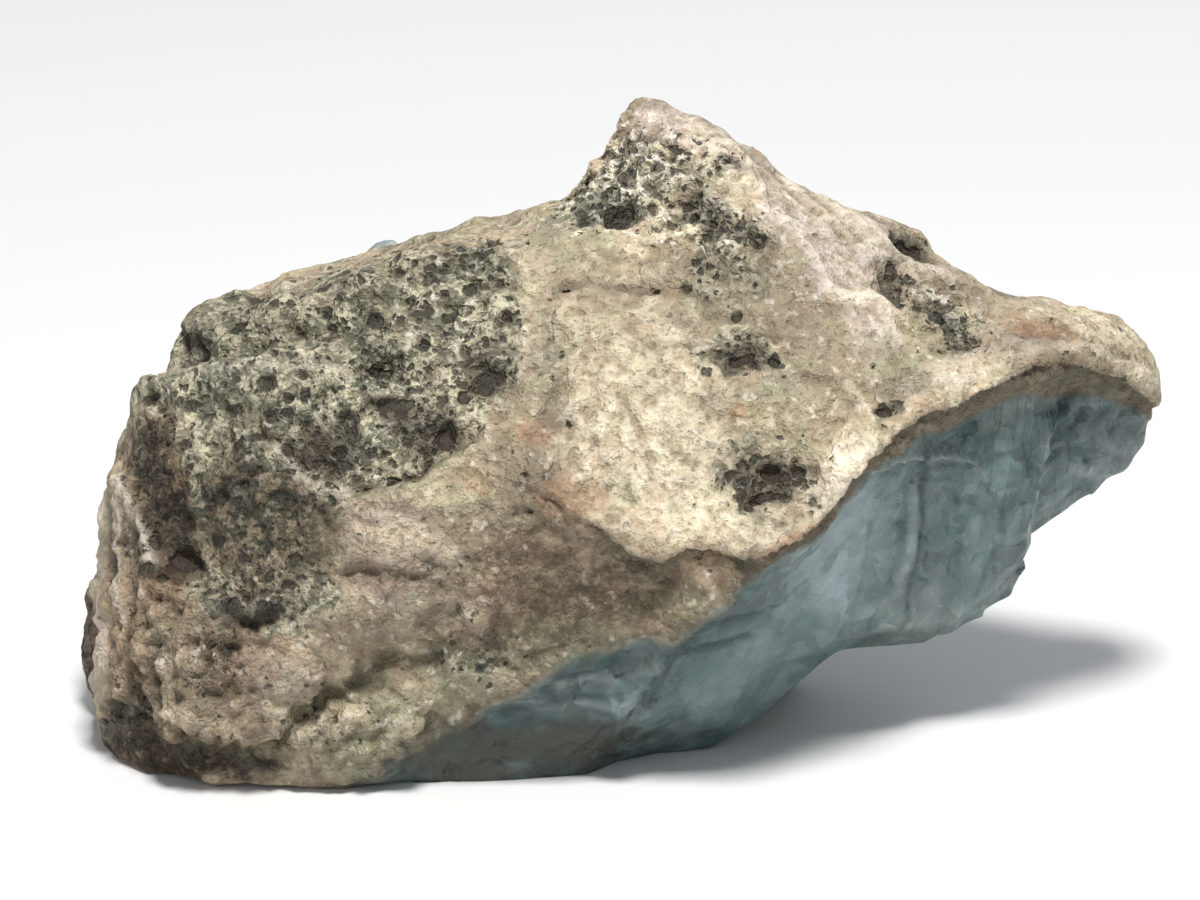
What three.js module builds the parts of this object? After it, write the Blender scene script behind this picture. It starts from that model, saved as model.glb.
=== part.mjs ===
// Rough larimar: one broken lump of blue pectolite that still carries the weathered basalt it grew in.
// The speckled basalt rind covers the front and both ends. The blue shows below its lip and on the back.
// Millimetres, +Z up, front towards -Y. The origin is on the surface that the stone stands on,
// under the middle of its box.
import * as THREE from "three";
import { ConvexHull } from "three/addons/math/ConvexHull.js";
import { ImprovedNoise } from "three/addons/math/ImprovedNoise.js";

// Driving dimensions
const LEAN_DEG = 20; // how far the stone, drawn face on, leans back when it stands on its base
const BASE_FRONT = -6; // depth at which the base plane meets height 0 of the face-on drawing
const LONGEST_EDGE = 1.86; // of the finished skin
const RIND_ROUGHNESS = { height: 0.55, wave: 6.5, octaves: 3 };
const BREAK_FACETS = { size: 10, tilt: 0.2 }; // flat pieces that the broken blue back is made of
const ON_LINE = 0.3; // a point this near to a ledge's line is on its upper edge

// Where the pieces of the surface are joined up from, and the shape that evens out their directions.
const HEART = new THREE.Vector3(-1, 0.5, 18.5);
const HALF_SIZE = new THREE.Vector3(32, 15, 20);

// Points of the surface, drawn face on: x to the right, y away from the viewer, z up.
// RIND is weathered basalt, SEAM is where it ends, and BLUE is broken pectolite.
const RIND = [
  // outline: left end, where a darker layer stands out behind the front one
  [-30.7, 1, 2.5], [-31.7, 4, 4.6], [-32, 5, 7.6], [-32, 5, 10.7], [-30.9, 3, 12.9],
  // outline: left shoulder and the small overhanging corner above it
  [-30.4, 1, 16.5], [-29, 0, 18.8], [-28.3, 0, 21.8], [-26.8, 0, 23.9], [-25.8, 1.2, 25.5],
  [-25.6, 0.4, 27.5],
  // outline: long upper edge up to the saddle
  [-24.4, 1, 28.3], [-20.7, 2, 29.2], [-16.1, 2, 30.9], [-13.8, 1.6, 31.2], [-11.2, 2, 32.5],
  [-3.7, 1, 34.4],
  [-0.7, 0.5, 34.7], [0, 0.8, 36],
  // outline: horn, steep on its left
  [0.2, 0.6, 37.6], [0.3, 0.8, 39.2], [0.6, 1.2, 40.3], [1.3, 1.5, 41], [3.5, 1, 40],
  [5.9, 0.5, 39.1],
  [8, 0, 37.4],
  // outline: slope down to the knob, and the top of the wing
  [11.8, -0.5, 34.6], [15.6, -1, 33.1], [17.4, -1, 33], [18.6, -1, 32.5], [18.8, -1, 31.4],
  [20.1, -1, 29.9],
  [24.5, -1, 28.6], [28.9, -0.5, 28], [30.4, -0.5, 26.9], [32, 0, 23.5],
  // outline: foot
  [-12.7, -6, 0], [-18.6, -7, -0.4], [-24.5, -6.4, -0.2], [-28.6, -4, 0.7],
  // dark porous patch above its ledge
  [-24.3, -3.2, 26.8], [-21, -5, 27.5], [-16, -5.6, 29.3], [-10, -5.6, 31], [-6, -5.3, 32],
  [-23.5, -5, 24.9], [-18, -7.4, 25.3], [-12.5, -8.4, 26], [-7.5, -9, 26.8],
  // the ledge, and the patch below it
  [-27, -3.5, 22.3], [-24, -6.8, 23], [-19.5, -9.3, 23.5], [-15, -10.2, 23.1], [-9, -10.8, 23],
  [-26.2, -7, 18.5], [-20, -10.4, 19], [-14.5, -11.6, 19.2], [-9, -12, 19],
  [-26.3, -7.2, 15], [-22.5, -10, 14.5], [-17, -12, 15],
  // band along the left end, inside its raised lip
  [-29, -3.5, 16.2], [-29.6, -3.4, 12], [-30, -3.2, 8], [-29.3, -3.8, 4.6], [-27.4, -6.6, 13],
  // lower left, overhanging the foot
  [-26.5, -8, 9.5], [-25.5, -8.6, 4.6], [-22, -10.6, 9.5], [-20.5, -9.8, 5.2], [-26, -5.8, 2],
  // lobe at the foot
  [-17, -9.6, 2.2], [-15.5, -10.6, 4.6], [-12, -10, 4.6], [-12.5, -8.6, 1.8], [-16.5, -11, 8],
  // swelling across the lower middle
  [-12, -13, 14.5], [-6.5, -13.3, 14.6], [-12.5, -12.2, 10], [-6.5, -12.4, 10.4], [-8, -10, 6],
  // pale plate in the middle, ending in a scalloped lip
  [-3.3, -3.6, 32.6], [-1, -8.4, 28.2], [-4.5, -10.6, 24], [1.5, -11, 24.6], [-2.5, -12.8, 19.5],
  [4.8, -12.8, 20.6],
  [-1.5, -13.8, 15.2], [0.6, -14.1, 14.4], [3, -14.3, 13.5], [5, -14, 13.9], [7, -14, 13.4],
  [9, -13.9, 14.2],
  [11.5, -13.8, 15.6], [13.4, -13.9, 18.4], [9.5, -13.2, 20],
  // hollow and lump under the lip
  [0, -12.2, 12.4], [2.6, -12, 11.6], [5, -13.2, 12.2],
  // horn, and the porous saddle at its foot
  [2, -2.2, 37.4], [0.4, -3, 34.4], [4.6, -3.6, 35.4], [5, -6, 32.2], [6.4, -2.4, 37.2],
  // crest running down to the right, and the smooth flank beyond it
  [9.5, -6.4, 31.8], [12.4, -8.8, 28], [14.8, -10.8, 24.9], [8.5, -10.4, 26], [10.2, -3.4, 33.9],
  [14, -3.6, 32], [16.6, -6, 28.8], [20.2, -8.4, 25.9], [18, -2.8, 31], [21.7, -4.2, 28.9],
  // wing, above its lip
  [15, -12.6, 20.2], [17.5, -11.8, 21.7], [20.5, -10.8, 22.9], [24, -9.6, 24.4], [27.5, -8, 24.3],
  [30, -5.4, 23.9],
  [25.5, -6.6, 26.7], [29, -4.4, 26.2], [31.4, -2.4, 23.9],
  // back of the left end
  [-28.5, 9, 10.5], [-28, 7.5, 17], [-27.5, 8, 5.6], [-24, 1, 1.6], [-16, -2, 0.4],
  // groove between the front layer of the left end and the darker one behind it
  [-30.6, 2, 12.4], [-30.7, 2.3, 8.6], [-30.2, 2.4, 5],
];

const SEAM = [
  // front, right to left
  [31.1, -1.4, 21.7], [30, -3.8, 22.2], [28, -5.8, 22.7], [25, -7.2, 22.9], [22, -8.4, 22.2],
  [19, -9.6, 21.1],
  [16, -10.8, 19.6], [13.6, -11.8, 17.2], [11, -12.2, 14.2], [8, -12.2, 12.4], [5.5, -11.8, 10.9],
  [2.5, -11, 9.3], [-1, -10.3, 7.9], [-5, -9.2, 5.9], [-9, -8, 3.6],
  // behind the upper edge
  [-25.5, 6.5, 24.5], [-19, 5.5, 28], [-15.8, 4, 29.9], [-11.5, 4.5, 30.4], [-4, 4.6, 31.4],
  [0.2, 3.4, 34.2],
  [2.6, 4, 37.6], [6.5, 4, 36], [12, 4, 32.6], [17.5, 3.4, 30.4], [25, 2.6, 27.2], [30.4, 2.2, 24.4],
];

const BLUE = [
  // outline: broken edge below the wing, with its two steps
  [31.2, 0.5, 20.9], [30.6, 0.5, 18.9], [27.3, 1, 16.3], [23.8, 0.5, 13.9], [23.1, 0, 12.1],
  [20.1, 0, 9.2],
  [18.1, 0, 8], [13.2, 0, 7.6], [13, 4, 8.6], [8.3, -1, 3.5],
  [5.6, -1.2, 1.8], [2.3, -1.5, 1.6], [0.1, -2.7, 1.2], [-1.6, -4.5, 0.5], [-6.4, -5.4, 0.2],
  // right facet, set back behind the crease
  [29, -2.4, 19.6], [26, -4.6, 20], [27, -1.6, 17.6],
  // crease and the middle facets
  [25, -6.4, 21], [24.2, -4.8, 17.8], [23.6, -2.2, 14.6], [21, -5.8, 18.2], [20.5, -3.8, 13.6],
  [17.8, -7.4, 17.6],
  // splayed fibres and the grey facet below them
  [16.6, -5.8, 13], [14.4, -6.4, 11.4], [16.5, -3.2, 9.4], [20.8, -2.2, 10.6], [12, -9, 13],
  // step, and the smooth facet under it
  [9, -8.6, 10.6], [5.6, -9, 9], [2.8, -8.6, 7.6], [4.4, -7, 6.8], [1.4, -6.6, 4.6],
  [8.4, -5, 6.6], [6, -3, 3.4],
  // brown underside at the foot
  [-3, -7.4, 3.6], [-5.5, -6.3, 1.6], [-0.4, -4.8, 2.4],
  // back: upper facets
  [-22, 11, 22], [-16, 9.5, 27], [-9.5, 9, 29.2], [-1, 9.5, 30], [4.4, 7.5, 34], [8, 9.5, 31],
  [14, 8.5, 28.5],
  [21, 6.5, 26], [26.5, 4.6, 24.2],
  // back: the broad middle, split by a low crest
  [-24.5, 12, 13.5], [-16.5, 14.5, 20.5], [-13, 16, 12.5], [-6.5, 13.5, 23.5], [-3, 16.8, 16.5],
  [4.5, 14, 24.5],
  [6, 14.2, 14.5], [12.5, 11.6, 20], [18.5, 9.4, 17.5], [25, 5.8, 19.6],
  // back: lower facets, running in under the stone
  [-22, 12.6, 8], [-9, 14.6, 8.8], [2.5, 13.4, 8.8], [12.5, 8.6, 10.5], [20, 4.4, 12.4],
  [-24, 8.6, 4.6], [-12, 12, 5.8], [1, 11, 5.4], [9, 6.6, 4.2],
  // base, a little below the plane it is flattened to
  [-8, 0, 0.6], [-14, 6, 2.4], [-2, 5, 2.2], [3.5, 3.5, 2.2],
];

// Relief of the front, as lines and spots [x, z] of the face-on drawing.
// A ledge stands proud on the left of its line's direction and fades away from it.
const LEDGES = [
  // rim of the rind over the blue
  {
    line: [
      [-9, 3.6], [-5, 5.9], [-1, 7.9], [2.5, 9.3], [5.5, 10.9], [8, 12.4], [11, 14.2], [13.6, 17.2],
      [16, 19.7], [19, 21.3], [22, 22.7], [24.5, 23.8], [27, 23.7], [29.5, 22.9], [31.4, 21.8],
    ],
    rise: 0.4,
    fade: 2.5,
  },
  // step across the dark patch
  { line: [[-13, 23.4], [-16.5, 24.4], [-20, 24.4], [-24, 24.3], [-27.6, 23.4]], rise: 0.8, fade: 3.5 },
  // pale rock banked up under the dark patch
  {
    line: [[-8.4, 20], [-11, 18.2], [-14.5, 17.3], [-17.6, 17], [-19.5, 18.2], [-22, 19.4]],
    rise: 0.6,
    fade: 3,
  },
  // scalloped lip of the pale plate
  {
    line: [[-4.8, 16.6], [-2, 15], [0.6, 14.1], [2.6, 13.2], [3.8, 14], [5, 14.2], [7.4, 13.2]],
    rise: 0.6,
    fade: 4,
  },
  // front layer broken off above the foot
  { line: [[-29.5, 4], [-27.6, 3.6], [-26, 3.1], [-22.5, 2.6], [-19.6, 2.4]], rise: 0.7, fade: 2.5 },
  // blue: crease beside the right facet
  { line: [[25.3, 22.4], [24.8, 19.6], [24.2, 17], [23.6, 14.4]].reverse(), rise: 0.8, fade: 3.5 },
  // blue: scalloped break near the seam
  {
    line: [[15.8, 18], [17.2, 19], [18.2, 18.2], [19.5, 18.9], [20.8, 18.5], [21.5, 17.4]],
    rise: 0.5,
    fade: 2,
  },
  // blue: bright flakes in front of the dark layer under the wing
  { line: [[21.2, 15.6], [22.6, 17.8], [22.4, 20], [23.4, 21.6]], rise: 0.5, fade: 1.8 },
  // blue: step above the smooth facet
  {
    line: [[0.4, 4.6], [1.8, 5.9], [2.9, 7.5], [3, 8.5], [5.4, 9.9], [7.8, 10.6]],
    rise: 0.8,
    fade: 2.5,
  },
];

const RIDGES = [
  // lip of the left end
  {
    line: [[-29, 17.6], [-27.9, 15.6], [-27.2, 13.4], [-27.5, 10.8], [-28.1, 8], [-28.3, 5.5]],
    height: 0.7,
    width: 0.9,
  },
  // crest, and the sharper one behind it
  { line: [[7.8, 33.6], [10.2, 31], [12.4, 28.7], [14.5, 26.6], [15.4, 24.8]], height: 0.5, width: 1 },
  { line: [[11.5, 34.2], [14.5, 32], [17, 30], [19, 28.6], [20.6, 26.8]], height: 0.55, width: 0.9 },
  // grooves round the lobe at the foot
  {
    line: [[-19.4, 2.4], [-18.9, 3.2], [-17, 5], [-14.8, 6.1], [-13.4, 7.4], [-11, 7.5]],
    height: -1.2,
    width: 0.9,
  },
  { line: [[-11.6, 1.2], [-10.2, 3.2], [-9.6, 5.4]], height: -0.6, width: 0.9 },
  // blue: splayed fibres
  { line: [[17.7, 18.4], [17.6, 14.4], [16.9, 11.2], [16.3, 9]], height: 0.4, width: 0.8 },
  { line: [[16.8, 15.4], [15.5, 12.2], [14.5, 9.9]], height: 0.35, width: 0.7 },
  { line: [[8, 12.2], [9, 10.6], [9.9, 9.4]], height: 0.35, width: 0.8 },
];

const SPOTS = [
  // hollow under the overhanging corner, and the deep end of the dark patch
  { at: [-25.2, 25.3], height: -1.1, radius: 1.2 },
  { at: [-25, 13.8], height: -0.8, radius: 1.9 },
  { at: [-7.8, 23.5], height: -0.6, radius: 1.1 },
  // pitted saddle
  { at: [0, 33.3], height: -0.7, radius: 1.3 },
  { at: [3.7, 33.8], height: -0.5, radius: 1 },
  { at: [7.4, 31.8], height: -0.5, radius: 1 },
  // dark clusters on the plate
  { at: [7.2, 24.6], height: -0.5, radius: 1.4 },
  { at: [9, 17.6], height: -0.5, radius: 1.6 },
  // crack behind the crest, and the notch under the knob
  { at: [15.8, 29.2], height: -0.7, radius: 1.1 },
  { at: [18.4, 26.8], height: -0.6, radius: 0.9 },
  { at: [20.4, 26.8], height: -0.5, radius: 0.8 },
  { at: [17.6, 31.2], height: -0.7, radius: 1 },
  // knobs of pale rock
  { at: [-29, 10.8], height: 0.6, radius: 1.4 },
  { at: [-29.4, 7.4], height: 0.6, radius: 1.2 },
  { at: [-25.6, 4.4], height: 0.5, radius: 1.7 },
  { at: [-27, 8.2], height: 0.4, radius: 1.5 },
  { at: [13.2, 18.8], height: 0.4, radius: 1.3 },
  { at: [5.4, 12.2], height: 0.5, radius: 1.3 },
];

// Joins the points up into the blank. Neighbours are points whose directions from the heart lie next to
// each other.
function blank() {
  const vertices = [];
  const numberOf = new Map();
  for (const [group, blueness] of [[RIND, 0], [SEAM, 0.5], [BLUE, 1]]) {
    for (const place of group) {
      const point = new THREE.Vector3(...place);
      numberOf.set(point.clone().sub(HEART).divide(HALF_SIZE).normalize(), vertices.length);
      vertices.push({ point, blueness });
    }
  }
  const hull = new ConvexHull().setFromPoints([...numberOf.keys()]);
  const faces = hull.faces.map((face) =>
    [face.edge.prev, face.edge, face.edge.next].map((edge) => numberOf.get(edge.head().point)),
  );
  return { vertices, faces };
}

// How far along the edge from p to q a line of the relief crosses it, or 0.5 where none does.
function placeOfSplit(p, q) {
  if (p.y > 0 || q.y > 0) return 0.5;
  for (const { line } of [...LEDGES, ...RIDGES]) {
    for (let i = 1; i < line.length; i++) {
      const [ax, az] = line[i - 1];
      const [dx, dz] = [line[i][0] - ax, line[i][1] - az];
      const [ex, ez] = [q.x - p.x, q.z - p.z];
      const cross = ex * dz - ez * dx;
      const onEdge = ((ax - p.x) * dz - (az - p.z) * dx) / cross;
      const onLine = ((ax - p.x) * ez - (az - p.z) * ex) / cross;
      if (onEdge > 0.3 && onEdge < 0.7 && onLine >= 0 && onLine <= 1) return onEdge;
    }
  }
  return 0.5;
}

// Splits every edge longer than `longest` in two, and the faces on both of its sides to match.
function splitEdges({ vertices, faces }, longest) {
  const middles = new Map();
  const middleOf = (a, b) => {
    const key = a < b ? `${a} ${b}` : `${b} ${a}`;
    if (!middles.has(key)) {
      const [p, q] = [vertices[a], vertices[b]];
      const tooLong = p.point.distanceTo(q.point) > longest;
      middles.set(key, tooLong ? vertices.length : -1);
      if (tooLong) {
        const share = placeOfSplit(p.point, q.point);
        const point = p.point.clone().lerp(q.point, share);
        vertices.push({ point, blueness: THREE.MathUtils.lerp(p.blueness, q.blueness, share) });
      }
    }
    return middles.get(key);
  };
  const split = [];
  for (const face of faces) {
    const middle = [0, 1, 2].map((k) => middleOf(face[k], face[(k + 1) % 3]));
    const halved = middle.filter((m) => m >= 0).length;
    const first = halved === 2 ? (middle.indexOf(-1) + 1) % 3 : middle.findIndex((m) => m >= 0);
    if (halved === 0) {
      split.push(face);
      continue;
    }
    const [a, b, c] = [0, 1, 2].map((k) => face[(first + k) % 3]);
    const [ab, bc, ca] = [0, 1, 2].map((k) => middle[(first + k) % 3]);
    if (halved === 1) split.push([a, ab, c], [ab, b, c]);
    if (halved === 2) {
      split.push([ab, b, bc]);
      const fromA = vertices[a].point.distanceTo(vertices[bc].point);
      const fromC = vertices[c].point.distanceTo(vertices[ab].point);
      if (fromA < fromC) split.push([a, ab, bc], [a, bc, c]);
      else split.push([a, ab, c], [ab, bc, c]);
    }
    if (halved === 3) split.push([a, ab, ca], [ab, b, bc], [ca, bc, c], [ab, bc, ca]);
  }
  return { vertices, faces: split };
}

function neighboursOf({ vertices, faces }) {
  const neighbours = vertices.map(() => new Set());
  for (const [a, b, c] of faces) {
    neighbours[a].add(b).add(c);
    neighbours[b].add(c).add(a);
    neighbours[c].add(a).add(b);
  }
  return neighbours;
}

// Wears the creases down, the rind's more than the blue's. Every other share is a step back, which
// keeps the size.
function wear({ vertices, faces }, shares) {
  const neighbours = neighboursOf({ vertices, faces });
  for (const share of shares) {
    const middles = vertices.map((_, i) => {
      const middle = new THREE.Vector3();
      for (const j of neighbours[i]) middle.add(vertices[j].point);
      return middle.divideScalar(neighbours[i].size);
    });
    vertices.forEach(({ point, blueness }, i) => point.lerp(middles[i], share * (1 - 0.75 * blueness)));
  }
}

function normalsOf({ vertices, faces }) {
  const normals = vertices.map(() => new THREE.Vector3());
  const [u, v] = [new THREE.Vector3(), new THREE.Vector3()];
  for (const [a, b, c] of faces) {
    u.subVectors(vertices[b].point, vertices[a].point);
    v.subVectors(vertices[c].point, vertices[a].point);
    u.cross(v);
    for (const i of [a, b, c]) normals[i].add(u);
  }
  return normals.map((normal) => normal.normalize());
}

// Distance in the drawing from a spot to a line, positive on the left of the line's direction.
function sideDistance(x, z, line) {
  let nearest = Infinity;
  let side = 1;
  for (let i = 1; i < line.length; i++) {
    const [ax, az] = line[i - 1];
    const [bx, bz] = line[i];
    const [dx, dz] = [bx - ax, bz - az];
    const along = THREE.MathUtils.clamp(((x - ax) * dx + (z - az) * dz) / (dx * dx + dz * dz), 0, 1);
    const distance = Math.hypot(x - ax - along * dx, z - az - along * dz);
    if (distance < nearest) {
      nearest = distance;
      side = dx * (z - az) - dz * (x - ax) >= 0 ? 1 : -1;
    }
  }
  return side * nearest;
}

const bell = (distance, width) => Math.exp(-((distance / width) ** 2));

function ledgeHeight(distance, { rise, fade }) {
  if (distance > -ON_LINE) return rise * bell(distance, fade);
  return -0.4 * rise * bell(distance, fade / 3);
}

function frontRelief({ x, z }) {
  let height = 0;
  for (const ledge of LEDGES) {
    height += ledgeHeight(sideDistance(x, z, ledge.line), ledge);
  }
  for (const ridge of RIDGES) {
    height += ridge.height * bell(sideDistance(x, z, ridge.line), ridge.width);
  }
  for (const spot of SPOTS) {
    height += spot.height * bell(Math.hypot(x - spot.at[0], z - spot.at[1]), spot.radius);
  }
  return height;
}

const noise = new ImprovedNoise();

// Fractal noise, about -1 to 1, with waves up to `wave` long.
function roughness(point, { wave, octaves }) {
  let sum = 0;
  for (let octave = 0; octave < octaves; octave++) {
    const k = 2 ** octave / wave;
    sum += noise.noise(point.x * k + 11.3, point.y * k + 4.7, point.z * k + 7.9) / 2 ** octave;
  }
  return sum;
}

const random = (x, y, z) => {
  const wide = Math.sin(x * 127.1 + y * 311.7 + z * 74.7) * 43758.5453;
  return wide - Math.floor(wide);
};

// Highest of the tilted planes round a point, one to a cell about `size` across, which meet in valleys.
function brokenPlanes(point, { size, tilt }, set) {
  const cell = point.clone().divideScalar(size).floor();
  const away = new THREE.Vector3();
  const slope = new THREE.Vector3();
  let highest = -Infinity;
  for (let i = -1; i <= 1; i++) {
    for (let j = -1; j <= 1; j++) {
      for (let k = -1; k <= 1; k++) {
        const [a, b, c] = [cell.x + i, cell.y + j, cell.z + k];
        const [u, v, w] = [random(a + set, b, c), random(b, c, a + set + 9), random(c, a + set, b + 17)];
        away.set(a + u, b + v, c + w).multiplyScalar(-size).add(point);
        slope.set(v - 0.5, w - 0.5, u - 0.5).multiplyScalar(2 * tilt);
        highest = Math.max(highest, slope.dot(away) - away.lengthSq() / (2 * size));
      }
    }
  }
  return highest;
}

// Height of a broken surface: planes that meet in valleys, less others, so that some meet in ridges.
function broken(point) {
  return brokenPlanes(point, BREAK_FACETS, 0) - brokenPlanes(point, BREAK_FACETS, 50);
}

function relief({ point, blueness }, normal) {
  const front = THREE.MathUtils.smoothstep(-normal.y, -0.1, 0.25);
  const back = THREE.MathUtils.smoothstep(normal.y, 0.1, 0.7);
  const rind = RIND_ROUGHNESS.height * roughness(point, RIND_ROUGHNESS);
  return front * frontRelief(point) + THREE.MathUtils.lerp(rind, broken(point) * back, blueness);
}

let skin = blank();
for (const longest of [12, 8, 5.5, 3.8, 2.7, LONGEST_EDGE]) {
  skin = splitEdges(skin, longest);
}
wear(skin, [0.6, -0.55, 0.6, -0.55, 0.4]);
normalsOf(skin).forEach((normal, i) => {
  const vertex = skin.vertices[i];
  vertex.point.addScaledVector(normal, relief(vertex, normal));
});

// Stands the stone on its base: leans it back, and flattens what would reach below the surface.
const lean = THREE.MathUtils.degToRad(LEAN_DEG);
const floor = -BASE_FRONT * Math.sin(lean);
for (const { point } of skin.vertices) {
  point.applyAxisAngle(new THREE.Vector3(1, 0, 0), -lean);
  point.z = Math.max(point.z - floor, 0);
}

const geometry = new THREE.BufferGeometry().setFromPoints(skin.vertices.map(({ point }) => point));
geometry.setIndex(skin.faces.flat());
geometry.computeBoundingBox();
const middle = geometry.boundingBox.getCenter(new THREE.Vector3());
geometry.computeVertexNormals();

const larimar = new THREE.MeshStandardMaterial({ color: 0x8f9189, roughness: 0.8, metalness: 0 });
const stone = new THREE.Mesh(geometry, larimar);
stone.name = "larimar_stone";
stone.position.set(-middle.x, -middle.y, 0);

const part = new THREE.Group();
part.add(stone);
export default part;
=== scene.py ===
# A rough piece of larimar on a pale floor: speckled basalt rind in front, broken blue pectolite below and behind.
import math

import bmesh
import bpy
import numpy as np
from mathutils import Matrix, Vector, noise


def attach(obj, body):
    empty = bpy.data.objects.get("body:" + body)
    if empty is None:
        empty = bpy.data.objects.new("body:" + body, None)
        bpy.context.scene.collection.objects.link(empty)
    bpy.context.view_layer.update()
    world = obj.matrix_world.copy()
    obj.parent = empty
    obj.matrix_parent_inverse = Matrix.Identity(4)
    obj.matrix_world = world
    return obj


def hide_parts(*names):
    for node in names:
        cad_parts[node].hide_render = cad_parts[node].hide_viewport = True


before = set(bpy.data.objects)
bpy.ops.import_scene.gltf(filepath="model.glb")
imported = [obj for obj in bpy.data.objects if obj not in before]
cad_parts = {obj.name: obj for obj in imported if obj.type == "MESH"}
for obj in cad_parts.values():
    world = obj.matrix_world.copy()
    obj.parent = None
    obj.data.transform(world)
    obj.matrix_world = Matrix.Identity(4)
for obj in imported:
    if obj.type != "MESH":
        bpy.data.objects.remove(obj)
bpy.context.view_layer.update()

MM = 0.001

# How the stone, described face on, stands on its base: x to the right, y away from the viewer, z up.
LEAN = math.radians(20)
FLOOR_DROP = 6 * math.sin(LEAN)  # mm from the face-on zero down to the base, once it leans
BOX_SHIFT = 6.795  # mm that the leant stone moved forward, to put its box over the origin

# The picture: 17 of its 1200 x 900 pixels to the millimetre, where the stone's outline lies.
PICTURE_WIDTH = 1200 / 17
PICTURE_MIDDLE = (-0.94, 19.41)
CAMERA_DISTANCE = 400
SENSOR = 36

# Longest edge of the finished skin, in mm, in front and behind. It stays as it is on the base.
FRONT_EDGE = 0.36
BACK_EDGE = 0.85

# Places on the front, face on, in mm: [x, z].
# Where the rind ends and the blue begins.
SEAM = [
    (-34, -3), (-20, -1.5), (-13.5, 0.8), (-11, 2.6), (-8.5, 4), (-6, 5.5), (-2.5, 7.8), (0, 8.2), (3, 8.8),
    (5, 10.2), (7, 11.3), (8.5, 12.9), (10, 13.5), (11.5, 14.4), (12.8, 15.8), (13.9, 17.3), (15.5, 18.9),
    (17, 19.7), (19, 20.7), (21, 21.4), (23, 22.4), (25.2, 22.6), (27, 22.8), (29, 22.1), (30.5, 21.5),
    (34, 20),
]
# The fold above it, where the rind's face turns under into its broken edge.
RIM = [
    (7, 13.4), (8, 13.5), (9.8, 14.1), (11.4, 15.3), (12.5, 16.6), (13.6, 18.1), (14.6, 19.2), (16, 20.5),
    (18, 21.5), (20, 22.3), (22, 23.3), (24, 24.3), (26, 24.4), (28, 23.9), (29.5, 23.5), (31.4, 22.2),
]
# How far back the rind reaches behind the outline: [x, y].
RIND_DEPTH = [
    (-33, 10), (-28, 8), (-25.5, 6.5), (-19, 5.5), (-16.2, 5), (-13.6, 3.2), (-11.2, 4.6), (-3, 4.6), (3, 4),
    (12, 4), (25, 2.6), (32, 2),
]

DARK_PATCH = [
    (-26.5, 27.5), (-22, 28.6), (-16, 30.3), (-11.5, 31.5), (-6.2, 31.5), (-5.6, 26.5), (-5.6, 23.5),
    (-7.6, 22), (-9, 18.8), (-12.7, 17.2), (-15.5, 16.4), (-17, 13.5), (-16.5, 10.5), (-19, 9.3),
    (-22.5, 9.4), (-25.4, 12), (-27.4, 15.3), (-29, 19.4), (-28, 22.9),
]
# Marks on the front: [x, z, half width, half height, turn in degrees, strength].
HOLES = [
    (-14, 27, 0.75, 0.75, 0, 1), (-22, 26.7, 0.6, 0.5, 20, 1), (-21.2, 28.3, 0.8, 0.4, 20, 0.9),
    (-18.4, 26.3, 0.5, 0.4, 0, 0.9), (-11, 25.6, 0.6, 0.5, 40, 1), (-19.8, 23.2, 0.8, 0.5, 0, 1),
    (-18.7, 22.4, 0.5, 0.35, 0, 1), (-22.3, 21.8, 0.9, 0.4, 0, 1), (-19.7, 21.3, 0.6, 0.6, -40, 1),
    (-27.1, 22.2, 0.8, 0.6, 30, 1), (-24.9, 25.5, 1.3, 0.9, -20, 1), (-7.6, 23.3, 1, 0.9, 30, 1),
    (-9.7, 20.3, 0.8, 0.6, 0, 1), (-8.5, 28.7, 0.7, 0.5, 0, 0.9), (-6.3, 27, 0.6, 0.5, 0, 0.9),
    (-7.1, 31.5, 0.5, 0.4, 0, 0.9), (-12.7, 22.1, 1.4, 0.5, 0, 0.9), (-19, 16.7, 0.9, 0.7, 0, 1),
    (-25.2, 13.2, 0.8, 0.6, 0, 1), (-26.8, 14.2, 0.5, 0.6, 0, 0.9), (-22.2, 8, 0.8, 0.7, 0, 1),
    (-20.2, 9.7, 1.6, 0.6, 15, 0.9), (-5.2, 17.9, 0.4, 0.4, 0, 0.8), (-4.9, 15.9, 0.3, 0.3, 0, 1),
    (0, 33.1, 1, 0.8, 10, 1), (0.5, 34.8, 0.5, 0.4, 0, 1), (3.8, 33.9, 0.5, 0.4, -30, 0.8),
    (5.6, 33, 0.6, 0.3, 0, 0.7), (7.7, 31.7, 0.6, 0.3, -40, 0.8), (7, 27.2, 0.45, 0.4, 0, 1),
    (6.9, 24.7, 0.7, 0.4, 0, 0.9), (9, 24.4, 0.4, 0.35, 0, 0.9), (8.8, 18.1, 0.6, 0.6, 0, 1),
    (10.2, 18.3, 0.5, 0.4, 0, 0.9), (8, 16.6, 0.5, 0.35, 20, 0.9), (-3.2, 34.5, 0.7, 0.4, 30, 0.9),
    (-2.3, 35.5, 0.7, 0.3, 30, 0.9), (6.4, 36.3, 0.6, 0.3, 0, 0.8), (3.4, 37.3, 0.9, 0.35, -30, 0.9),
    (17.3, 31.3, 1.2, 0.5, -25, 1), (15.9, 28.2, 0.7, 0.5, 0, 0.9), (18.5, 26.6, 0.7, 0.5, -40, 1),
    (15.9, 29.8, 0.7, 0.5, 60, 0.9), (22, 29.1, 0.9, 0.35, -15, 0.9), (15.4, 21.6, 0.7, 0.4, 0, 0.9),
    (14.7, 24.3, 0.25, 0.3, 0, 0.9), (-2.7, 20.9, 0.3, 0.3, 0, 1), (2.2, 28.6, 0.5, 0.3, 0, 0.9),
    (-2.9, 28.9, 0.4, 0.2, 0, 0.8),
]
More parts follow.
